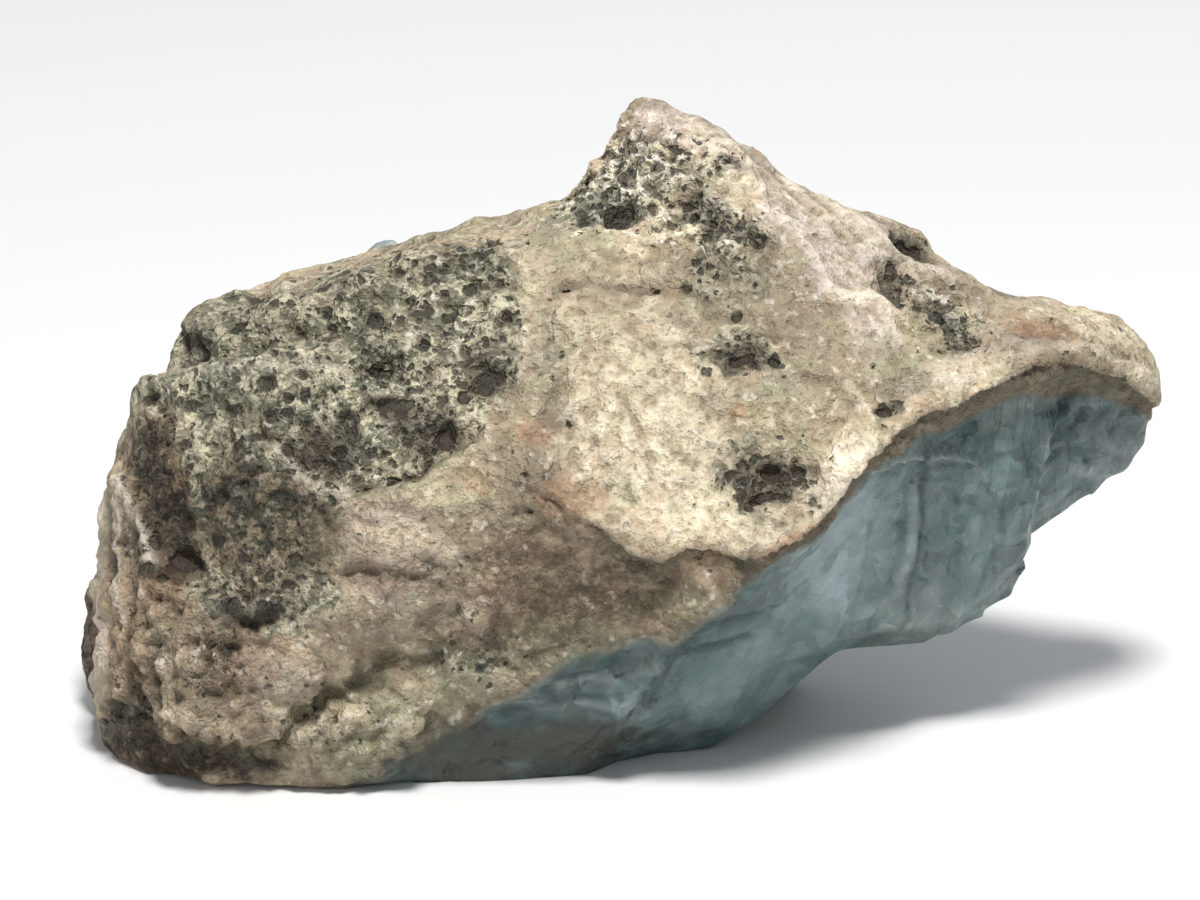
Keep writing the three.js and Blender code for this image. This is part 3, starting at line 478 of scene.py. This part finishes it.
def waves(points, size, octaves=4, seed=0.0):
    """Fractal noise over an array of places, about -1 to 1, with waves up to `size` mm long."""
    shift = Vector((seed * 7.3, seed * 3.1, seed * 5.7))
    return np.array([noise.fractal(Vector(p) / size + shift, 0.9, 2.0, octaves) for p in points])


def folds(points, size, octaves=3, seed=0.0):
    """Rounded lumps up to `size` mm across with sharp creases between them, about 0 in the creases."""
    shift = Vector((seed * 4.9, seed * 8.3, seed * 2.7))
    return np.array([noise.turbulence(Vector(p) / size + shift, octaves, True) for p in points])


def facets(points, size, tilt, seed=0.0):
    """Flat pieces about `size` mm across, each with a tilt of its own, that meet in valleys."""
    shift = Vector((seed * 5.1, seed * 2.9, seed * 3.7))
    half = Vector((0.5, 0.5, 0.5))
    heights = np.empty(len(points))
    for i, p in enumerate(points):
        place = Vector(p) / size + shift
        options = []
        for centre in noise.voronoi(place)[1]:
            away = place - centre
            own_tilt = noise.cell_vector(centre * CELL_SPREAD) - half
            options.append(2 * tilt * own_tilt.dot(away) - away.length_squared / 2)
        heights[i] = max(options)
    return size * heights


def fine_skin():
    """The stone's own skin, welded, divided and smoothed."""
    skin = bmesh.new()
    skin.from_mesh(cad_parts["larimar_stone"].data)
    bmesh.ops.remove_doubles(skin, verts=skin.verts, dist=1e-6)
    for _ in range(4):
        skin.normal_update()
        longest = []
        for edge in skin.edges:
            facing = sum(v.normal.y for v in edge.verts) / 2
            on_base = all(v.co.z < 0.01 * MM for v in edge.verts)
            limit = FRONT_EDGE if facing < 0.25 else BACK_EDGE
            if edge.calc_length() > limit * MM and not on_base:
                longest.append(edge)
        bmesh.ops.subdivide_edges(skin, edges=longest, cuts=1, use_single_edge=True)
        bmesh.ops.triangulate(skin, faces=[f for f in skin.faces if len(f.verts) > 3])
    for _ in range(5):
        above = [v for v in skin.verts if v.co.z > 0.05 * MM]
        bmesh.ops.smooth_vert(skin, verts=above, factor=0.5, use_axis_x=True, use_axis_y=True, use_axis_z=True)
    mesh = bpy.data.meshes.new("larimar")
    skin.to_mesh(mesh)
    skin.free()
    return mesh


def read(mesh, name, width=3):
    values = np.empty(len(mesh.vertices) * width)
    mesh.vertices.foreach_get(name, values)
    return values.reshape(-1, width)


def store(mesh, name, values):
    attribute = mesh.attributes.new(name, "FLOAT", "POINT")
    attribute.data.foreach_set("value", values.astype(np.float32))


def find_blue(points, front, wander, jags, lump):
    """Distance past the edge of the rind, distance into the blue, and how blue each place is, from 0 to 1."""
    x, y, z = points.T
    seam = -line_distance(x, z, SEAM) + 0.25 * wander + 0.22 * jags
    depth_x, depth_y = zip(*RIND_DEPTH)
    behind = y - np.interp(x, depth_x, depth_y) + 1.2 * wander
    into_blue = np.maximum(np.maximum(seam, behind), 2 * lump - 1)
    border = SEAM_BORDER + EXTRA_BORDER_ON_SLOPE * smooth(-x, -9, -4) * front
    return seam, into_blue, smooth(into_blue, -border, border)


def find_masks(x, z, front, seam, blue, lump, wander, jags, wide):
    """How strongly each place has each kind of mark, from 0 to 1, for the relief and the shaders."""
    back = 1 - front
    uneven = 0.4 * wander + 0.35 * jags
    masks = {name: marks(x, z, places, uneven) * front for name, places in PAINTED.items()}
    masks.update({name: streaks(x, z, lines, jags) * front for name, lines in DRAWN.items()})
    masks["holes"] = marks(x, z, HOLES, 0.25 + 0.5 * jags) * front
    in_patch = smooth(inside(x, z, DARK_PATCH) + 1.2 * wander, -0.9, 1.2) * front
    masks["dark"] = np.maximum.reduce([in_patch, masks["dark_places"], 0.7 * back * smooth(wide, -0.1, 0.5)])
    masks["moss"] = np.maximum(masks["moss"], 0.6 * back * smooth(wander, 0.1, 0.6))
    beside_seam = 0.8 * bell(seam, 1.4) * front * smooth(-x, -10, -6) * (blue < 0.5)
    masks["brown"] = np.maximum.reduce([masks["brown"], back * smooth(-wide, 0, 0.5), beside_seam])
    on_lump = 0.9 * smooth(lump + 0.2 * jags, 0.3, 0.7)
    masks["ice"] = np.maximum(streaks(x, z, ICE, jags) * 0.6 * front, on_lump)
    # The broken edge of the rind under the fold, which the shader darkens with painted shade.
    rim = smooth(-line_distance(x, z, RIM) + 0.2 * wander, -0.1, 0.25)
    masks["rim"] = rim * front * smooth(x, 5.5, 8)
    return masks


def rind_relief(points, masks, faced):
    """Lumps with creases between them, holes, grooves and crests."""
    rough = 0.6 + 0.3 * np.maximum(masks["dark"], masks["speckled"]) - 0.06 * masks["pale"] - 0.3 * masks["lilac"]
    rough += 0.8 * masks["lumpy"]
    rough *= EDGE_ON_RIND + (1 - EDGE_ON_RIND) * faced
    height = SWELL_HEIGHT * waves(points, 3.4, 3, 2) + rough * FOLD_HEIGHT * (folds(points, 2.4, 3, 3) - 0.4)
    height += rough * SMALL_FOLD_HEIGHT * (folds(points, 1.3, 2, 4) - 0.35)
    height += -HOLE_DEPTH * masks["holes"] - SPOT_DEPTH * masks["black"]
    return height - GROOVE_DEPTH * masks["groove"] + CREST_HEIGHT * masks["crest"]


def fibre_directions(points):
    """Places across and along the fibres, which spread in a fan in front and hang down behind."""
    x, y, z = points.T
    fan_x, fan_z = FIBRE_FAN
    across = np.arctan2(x - fan_x, fan_z - z)
    along = np.hypot(x - fan_x, fan_z - z)
    behind_share = smooth(y, 3, 8)
    across += behind_share * (x / 18 + 0.15 * np.sin(x / 5 + z / 14) - across)
    along += behind_share * (40 - z + 3 * np.cos(x / 6) - along)
    return across, along


def blue_relief(points, masks, faced, across, along):
    """Long splits that follow the fibres, flakes, and the fibres themselves."""
    y = points[:, 1]
    long_places = np.stack([across * 18, along * 0.4, y * 0.4], 1)
    splits = facets(long_places, 3.2, 0.5, 5) - facets(long_places, 3.2, 0.5, 6)
    flakes = facets(points, 2.0, 0.4, 7)
    fibres = waves(np.stack([across * 16, along * 0.16, y * 0.25], 1), 1.0, 3, 6)
    height = (1 - 0.6 * masks["slick"]) * (SPLIT_HEIGHT * splits + FLAKE_HEIGHT * (flakes + 0.3))
    height += FIBRE_HEIGHT * fibres - TEAL_DEPTH * masks["teal_and_shade"] + MILKY_HEIGHT * masks["milky"]
    return height * (EDGE_ON_BLUE + (1 - EDGE_ON_BLUE) * faced)


def ledge_relief(x, z, jags):
    """Low steps: the left side of each line is the higher one."""
    height = np.zeros(len(x))
    for ledge in LEDGES:
        distance = line_distance(x, z, ledge["line"]) + 0.12 * jags
        above, below = bell(distance, ledge["fade"]), -0.5 * bell(distance, ledge["fade"] / 2)
        height += ledge["rise"] * np.where(distance > 0, above, below)
    return height


def build_stone():
    mesh = fine_skin()
    places = read(mesh, "co")
    normals = read(mesh, "normal")
    points = to_face_on(places)
    facing = turn_face_on(normals)
    x, _, z = points.T
    front = smooth(-facing[:, 1], -0.15, 0.2)
    faced = smooth(np.abs(facing[:, 1]), 0.15, 0.6)

    wander = waves(points, 4.0, 4, 1)
    wide = waves(points, 9.0, 3, 8)
    jags = waves(points, 1.1, 2, 9)
    lump = bell(np.linalg.norm(points - PEEPING_LUMP, axis=1), PEEPING_LUMP_SIZE)
    seam, into_blue, blue = find_blue(points, front, wander, jags, lump)
    masks = find_masks(x, z, front, seam, blue, lump, wander, jags, wide)
    across, along = fibre_directions(points)

    height = (1 - blue) * rind_relief(points, masks, faced)
    height += blue * blue_relief(points, masks, faced, across, along)
    height += ledge_relief(x, z, jags) * front

    keep_floor = smooth(places[:, 2] / MM, 0.0, 0.8)
    places = places + normals * (height * keep_floor * MM)[:, None]
    upwards = np.array([0, math.sin(LEAN), math.cos(LEAN)])
    places += upwards * (PEEPING_LUMP_RISE * lump * MM)[:, None]
    places[:, 2] = np.maximum(places[:, 2], 0)
    mesh.vertices.foreach_set("co", places.ravel())

    masks.update(blue=blue, seam=into_blue, fibre_across=across, fibre_along=along)
    # Painted shade in the low places of the relief, for the shader.
    masks["hollow"] = smooth(-height, 0.0, 0.45)
    for name, values in masks.items():
        if name not in NOT_STORED:
            store(mesh, name, values)
    mesh.shade_smooth()
    stone = bpy.data.objects.new("larimar", mesh)
    bpy.context.scene.collection.objects.link(stone)
    return stone


# Finishes
def srgb(red, green, blue):
    """A colour given in the usual 0 to 255, as the shader's own linear values."""
    return tuple(((c / 255 + 0.055) / 1.055) ** 2.4 if c > 10 else c / 255 / 12.92 for c in (red, green, blue)) + (1,)


def add(tree, kind, inputs=None, **settings):
    node = tree.nodes.new("ShaderNode" + kind)
    for name, value in settings.items():
        setattr(node, name, value)
    for socket, value in (inputs or {}).items():
        if isinstance(value, bpy.types.NodeSocket):
            tree.links.new(value, node.inputs[socket])
        else:
            node.inputs[socket].default_value = value
    return node


def mix(tree, share, first, second, way="MIX"):
    node = add(tree, "Mix", {0: share, 6: first, 7: second}, data_type="RGBA", blend_type=way)
    return node.outputs[2]


def reckon(tree, way, first, second=0.0, clamp=False):
    return add(tree, "Math", {0: first, 1: second}, operation=way, use_clamp=clamp).outputs[0]


def weighed(tree, *terms):
    """Sum of values, each times its weight."""
    total = 0.0
    for value, weight in terms:
        total = add(tree, "Math", {0: value, 1: weight, 2: total}, operation="MULTIPLY_ADD").outputs[0]
    return total


def between(tree, value, low, high, top=1.0):
    """0 below `low`, `top` above `high`, and smooth in between."""
    inputs = {"Value": value, "From Min": low, "From Max": high, "To Max": top}
    return add(tree, "MapRange", inputs, interpolation_type="SMOOTHSTEP").outputs[0]


def grain(tree, place, scale, detail=4.0, roughness=0.6, distortion=0.0):
    inputs = {"Vector": place, "Scale": scale, "Detail": detail, "Roughness": roughness, "Distortion": distortion}
    return add(tree, "TexNoise", inputs).outputs["Fac"]


def mask(tree, name):
    return add(tree, "Attribute", attribute_name=name).outputs["Fac"]


def bent(tree, place, scale, far):
    """The place, moved up to about `far` mm in a direction that wanders."""
    wander = add(tree, "TexNoise", {"Vector": place, "Scale": scale, "Detail": 2.0}).outputs["Color"]
    wander = add(tree, "VectorMath", {0: wander, 1: (0.5, 0.5, 0.5)}, operation="SUBTRACT").outputs[0]
    return add(tree, "VectorMath", {0: wander, 1: (4 * far,) * 3, 2: place}, operation="MULTIPLY_ADD").outputs[0]


def cells(tree, place, scale):
    """Distance to the nearest of scattered points, and two numbers of its own for each."""
    node = add(tree, "TexVoronoi", {"Vector": place, "Scale": scale, "Randomness": 1.0})
    apart = add(tree, "SeparateColor", {0: node.outputs["Color"]})
    return node.outputs["Distance"], apart.outputs[0], apart.outputs[1]


def pits(tree, place, scale, share):
    """Small holes in part of the cells, each with a size of its own. They are larger where there are more."""
    distance, number, size = cells(tree, place, scale)
    present = between(tree, reckon(tree, "SUBTRACT", share, number), 0.0, 0.1)
    depth = weighed(tree, (size, 0.25), (share, 0.14), (distance, -1.0))
    return reckon(tree, "MULTIPLY", between(tree, depth, -0.22, 0.02), present)


def slabs(tree, place, scale):
    """Height of flat pieces, each with a tilt of its own."""
    node = add(tree, "TexVoronoi", {"Vector": place, "Scale": scale, "Randomness": 1.0})
    away = add(tree, "VectorMath", {0: place, 1: node.outputs["Position"]}, operation="SUBTRACT").outputs[0]
    tilt = add(tree, "VectorMath", {0: node.outputs["Color"], 1: (0.5, 0.5, 0.5)}, operation="SUBTRACT").outputs[0]
    return add(tree, "VectorMath", {0: away, 1: tilt}, operation="DOT_PRODUCT").outputs["Value"]


class Rind:
    """The noises and marks that the colours and the relief of the rind share."""

    def __init__(self, tree, place):
        self.tree, self.place = tree, place
        self.broad = grain(tree, place, 0.33, 4)
        self.blotches = grain(tree, place, 0.6, 3, 0.5)
        self.medium = grain(tree, place, 1.1, 4, 0.6)
        self.sandy = grain(tree, place, 2.5, 2, 0.6)
        self.ragged = weighed(tree, (self.medium, 1.4), (self.sandy, 1.0), (1.0, -1.2))
        self.dark, self.speckled, self.black = mask(tree, "dark"), mask(tree, "speckled"), mask(tree, "black")
        crumbled = bent(tree, place, 1.5, 0.3)
        self.apart, self.tone, _ = cells(tree, crumbled, 1.5)
        self.small_apart, small_tone, _ = cells(tree, crumbled, 3.1)
        self.tones = weighed(tree, (self.tone, 0.45), (small_tone, 0.3), (self.sandy, 0.7), (1.0, -0.72))
        self.specks = between(tree, grain(tree, place, 2.1, 2, 0.6), 0.42, 0.33, 0.4)

    def patchy(self, name, weight=1.0):
        """A mark with ragged edges."""
        wanted = weighed(self.tree, (mask(self.tree, name), 1.0), (self.ragged, 1.0))
        return between(self.tree, wanted, 0.3, 0.75, weight)

    def tint(self, name, weight=1.0):
        """A mark that fades out, and that is stronger in some crumbs than in others."""
        wanted = weighed(self.tree, (self.ragged, 0.9), (1.0, 0.8))
        return reckon(self.tree, "MULTIPLY", mask(self.tree, name), between(self.tree, wanted, 0.2, 1.0, weight))


def rock_colour(tree, rind):
    """Beige rock, with brown, lilac, green, pale and rusty places."""
    mottle = between(tree, weighed(tree, (rind.medium, 0.55), (rind.blotches, 0.45)), 0.42, 0.6)
    colour = mix(tree, between(tree, rind.medium, 0.36, 0.6), srgb(158, 143, 118), srgb(200, 186, 160))
    colour = mix(tree, between(tree, rind.blotches, 0.48, 0.64, 0.6), colour, srgb(168, 164, 132))
    colour = mix(tree, between(tree, rind.broad, 0.5, 0.66, 0.5), colour, srgb(196, 170, 144))
    colour = mix(tree, rind.tint("brown", 0.95), colour, srgb(112, 98, 82))
    lilac_colour = mix(tree, mottle, srgb(186, 170, 158), srgb(222, 210, 202))
    colour = mix(tree, rind.tint("lilac", 0.85), colour, lilac_colour)
    colour = mix(tree, rind.tint("moss", 0.75), colour, srgb(150, 152, 124))
    pale_colour = mix(tree, mottle, srgb(210, 193, 164), srgb(247, 236, 212))
    pale_colour = mix(tree, between(tree, rind.blotches, 0.48, 0.62, 0.6), pale_colour, srgb(216, 206, 172))
    pale_colour = mix(tree, between(tree, rind.broad, 0.5, 0.62, 0.2), pale_colour, srgb(234, 208, 180))
    colour = mix(tree, rind.tint("pale", 0.95), colour, pale_colour)
    return mix(tree, rind.tint("rust", 0.5), colour, srgb(190, 128, 88))


def with_dark_patch(tree, rind, colour):
    """Pale crumbs in a grey-green or brown-grey ground, over the dark patch."""
    ground = mix(tree, between(tree, rind.broad, 0.4, 0.6), srgb(112, 114, 95), srgb(136, 129, 108))
    ground = mix(tree, rind.tint("moss", 0.8), ground, srgb(98, 110, 92))
    crumbs = weighed(tree, (rind.medium, 0.5), (rind.sandy, 0.35), (rind.tone, 0.15))
    patch = mix(tree, between(tree, crumbs, 0.44, 0.6), ground, srgb(198, 191, 165))
    share = between(tree, weighed(tree, (rind.dark, 1.0), (rind.ragged, 0.8)), 0.2, 0.8)
    return mix(tree, share, colour, patch)


def with_crumbs(tree, rind, colour):
    """Grey and white crumbs of the speckled places, the black spots, and light and dark specks everywhere."""
    speck = between(tree, weighed(tree, (rind.speckled, 0.45), (rind.tones, 1.0)), 0.5, 0.8, 0.85)
    colour = mix(tree, speck, colour, srgb(230, 224, 214))
    grey = between(tree, weighed(tree, (rind.speckled, 0.45), (rind.tones, -1.0)), 0.48, 0.72, 0.85)
    colour = mix(tree, grey, colour, srgb(80, 77, 66))
    black_ground = mix(tree, between(tree, rind.tones, -0.15, 0.35), srgb(56, 57, 48), srgb(130, 129, 118))
    colour = mix(tree, rind.patchy("black", 0.8), colour, black_ground)
    light = between(tree, grain(tree, rind.place, 1.4, 3, 0.55), 0.56, 0.7, 0.5)
    colour = mix(tree, light, colour, srgb(240, 232, 216))
    return mix(tree, rind.specks, colour, srgb(104, 92, 74))


def with_light_and_shade(tree, rind, colour):
    """Lighter and darker places, small and large: tone that differs at random, then painted light and painted shade,
    with some dark spots, over the marked places.
    """
    slow = grain(tree, rind.place, 0.16, 3)
    drift = weighed(tree, (rind.tones, 0.35), (slow, 1.2), (rind.blotches, 0.5), (1.0, 0.13))
    # Painted light over the marked places.
    drift = weighed(tree, (drift, 1.0), (mask(tree, "painted_light"), PAINTED_LIGHT_GAIN))
    colour = mix(tree, 1.0, colour, drift, "MULTIPLY")
    # Painted shade, with some dark spots of the rock, over the marked places.
    return mix(tree, rind.tint("painted_shade_and_dark_spots"), colour, SHADE_AND_SPOT_FILTER, "MULTIPLY")


def with_edges(tree, rind, colour):
    """Painted shade in the hollows; pale crests, partly painted highlights on the ridges and the lip; the grey-brown
    broken edge over the blue, darkened with painted shade; and dark grooves, partly painted shade in the creases.
    """
    # Painted shade in the hollows of the relief.
    colour = mix(tree, reckon(tree, "MULTIPLY", mask(tree, "hollow"), 0.4), colour, srgb(100, 90, 72))
    # Pale crests, partly painted highlights.
    colour = mix(tree, rind.tint("crest", 0.8), colour, srgb(232, 222, 206))
    # The grey-brown broken edge under the fold, darkened with painted shade.
    shaded_rim_colour = mix(tree, rind.medium, srgb(62, 57, 46), srgb(104, 98, 80))
    colour = mix(tree, rind.patchy("rim", 0.85), colour, shaded_rim_colour)
    # Dark grooves, partly painted shade in the creases.
    return mix(tree, rind.tint("groove", 0.75), colour, srgb(76, 74, 56))


def find_holes(tree, rind):
    """Small scattered pits and the larger marked holes."""
    share = weighed(
        tree, (rind.dark, 0.45), (rind.speckled, 0.2), (rind.black, 0.3), (mask(tree, "pale"), -0.08), (1.0, 0.08)
    )
    big = pits(tree, bent(tree, rind.place, 1.2, 0.25), 1.0, share)
    small = pits(tree, bent(tree, rind.place, 1.9, 0.2), 1.9, share)
    return reckon(tree, "MAXIMUM", reckon(tree, "MAXIMUM", big, small), rind.patchy("holes"))


def rind_shader(tree, place):
    rind = Rind(tree, place)
    colour = rock_colour(tree, rind)
    colour = with_dark_patch(tree, rind, colour)
    colour = with_crumbs(tree, rind, colour)
    colour = with_light_and_shade(tree, rind, colour)
    colour = with_edges(tree, rind, colour)
    deep = find_holes(tree, rind)
    hole_colour = mix(tree, between(tree, rind.blotches, 0.4, 0.6), srgb(60, 50, 42), srgb(50, 52, 42))
    colour = mix(tree, reckon(tree, "MULTIPLY", deep, 0.85), colour, hole_colour)

    crumbly = weighed(tree, (reckon(tree, "MAXIMUM", rind.dark, rind.speckled), -0.75), (1.0, -0.25))
    domes = reckon(tree, "MULTIPLY", weighed(tree, (rind.apart, 0.3), (rind.small_apart, 0.12)), crumbly)
    fine = grain(tree, place, 5.5, 1, 0.5)
    grains = [(rind.blotches, 0.6), (rind.medium, 0.85), (rind.sandy, 0.2), (fine, 0.06)]
    rise = weighed(tree, *grains, (domes, 1.0), (rind.specks, -0.12), (deep, -0.4))
    bump = add(tree, "Bump", {"Strength": 1.0, "Distance": RIND_BUMP * MM, "Height": rise})
    rough = add(tree, "MapRange", {"Value": rind.sandy, "To Min": 0.6, "To Max": 0.95})
    inputs = {"Base Color": colour, "Roughness": rough.outputs[0], "Normal": bump.outputs[0]}
    return add(tree, "BsdfPrincipled", inputs).outputs[0]


def blue_shader(tree, place):
    fan = add(tree, "CombineXYZ", {0: mask(tree, "fibre_across"), 1: mask(tree, "fibre_along")}).outputs[0]
    stretched = add(tree, "VectorMath", {0: fan, 1: (22, 0.2, 1)}, operation="MULTIPLY").outputs[0]
    fibres = grain(tree, stretched, 1.0, 4, 0.55, 0.5)
    threads = grain(tree, stretched, 3.6, 3, 0.5, 0.3)
    cloud = grain(tree, place, 0.2, 5, 0.55, 0.4)
    medium = grain(tree, place, 0.8, 5)
    fine = grain(tree, place, 3.5, 3)

    # long splinters and broad flakes, each with a tone and a tilt of its own
    splinters = add(tree, "VectorMath", {0: fan, 1: (16, 0.24, 1)}, operation="MULTIPLY").outputs[0]
    splinters = bent(tree, splinters, 0.8, 0.12)
    flakes = bent(tree, place, 0.9, 0.25)
    _, tone, _ = cells(tree, splinters, 1.0)
    _, flake_tone, _ = cells(tree, flakes, 0.7)
    tones = weighed(tree, (tone, 0.5), (flake_tone, 0.5))
    long_slabs = slabs(tree, splinters, 1.0)
    broad_slabs, small_slabs = slabs(tree, flakes, 0.7), slabs(tree, flakes, 1.6)
    breaks = weighed(tree, (long_slabs, 0.5), (broad_slabs, 0.6), (small_slabs, 0.3))
    ridged = weighed(tree, (mask(tree, "slick"), -0.75), (1.0, 1.0))
    breaks = reckon(tree, "MULTIPLY", breaks, ridged)

    colour = mix(tree, between(tree, cloud, 0.36, 0.64), srgb(76, 102, 100), srgb(94, 111, 112))
    colour = mix(tree, between(tree, tones, 0.58, 0.68, 0.45), colour, srgb(122, 136, 134))
    colour = mix(tree, between(tree, tones, 0.42, 0.3, 0.45), colour, srgb(60, 86, 84))
    colour = mix(tree, between(tree, medium, 0.5, 0.66, 0.3), colour, srgb(110, 122, 118))
    colour = mix(tree, between(tree, fibres, 0.52, 0.72, 0.25), colour, srgb(120, 130, 126))
    colour = mix(tree, between(tree, fibres, 0.48, 0.3, 0.25), colour, srgb(64, 86, 85))
    colour = mix(tree, between(tree, threads, 0.58, 0.75, 0.15), colour, srgb(140, 148, 142))
    near_rind = between(tree, mask(tree, "seam"), 2.0, 0.2)
    edge = reckon(tree, "MULTIPLY", near_rind, between(tree, medium, 0.35, 0.6))
    colour = mix(tree, reckon(tree, "MULTIPLY", edge, 0.5), colour, srgb(72, 86, 78))
    colour = mix(tree, reckon(tree, "MULTIPLY", mask(tree, "milky"), 0.7), colour, srgb(156, 168, 165))
    colour = mix(tree, mask(tree, "ice"), colour, srgb(172, 190, 196))
    colour = mix(tree, 1.0, colour, weighed(tree, (breaks, 0.75), (1.0, 1.0)), "MULTIPLY")
    # Dark teal, partly painted shade along steps and creases.
    teal_and_shade = reckon(tree, "MULTIPLY", mask(tree, "teal_and_shade"), between(tree, medium, 0.25, 0.5, 0.8))
    colour = mix(tree, teal_and_shade, colour, srgb(26, 54, 56))
    colour = mix(tree, reckon(tree, "MULTIPLY", mask(tree, "brown"), 0.85), colour, srgb(54, 52, 40))
    colour = mix(tree, reckon(tree, "MULTIPLY", mask(tree, "moss"), 0.4), colour, srgb(84, 102, 86))

    rise = weighed(tree, (fibres, 0.4), (threads, 0.12), (medium, 0.3), (fine, 0.1), (breaks, 1.0))
    bump = add(tree, "Bump", {"Strength": 1.0, "Distance": BLUE_BUMP * MM, "Height": rise})
    inputs = {"Base Color": colour, "Roughness": BLUE_ROUGHNESS, "Normal": bump.outputs[0]}
    return add(tree, "BsdfPrincipled", inputs).outputs[0]


def stone_finish():
    finish = bpy.data.materials.new("larimar_and_rind")
    finish.use_nodes = True
    tree = finish.node_tree
    tree.nodes.clear()
    place = add(tree, "TexCoord").outputs["Object"]
    place = add(tree, "VectorMath", {0: place, 3: 1 / MM}, operation="SCALE").outputs[0]
    border = mask(tree, "blue")
    both = add(tree, "MixShader", {0: border, 1: rind_shader(tree, place), 2: blue_shader(tree, place)})
    add(tree, "OutputMaterial", {"Surface": both.outputs[0]})
    return finish


add_camera()
add_lights()
add_floor()
stone = build_stone()
stone.data.materials.append(stone_finish())
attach(stone, "root")
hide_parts("larimar_stone")
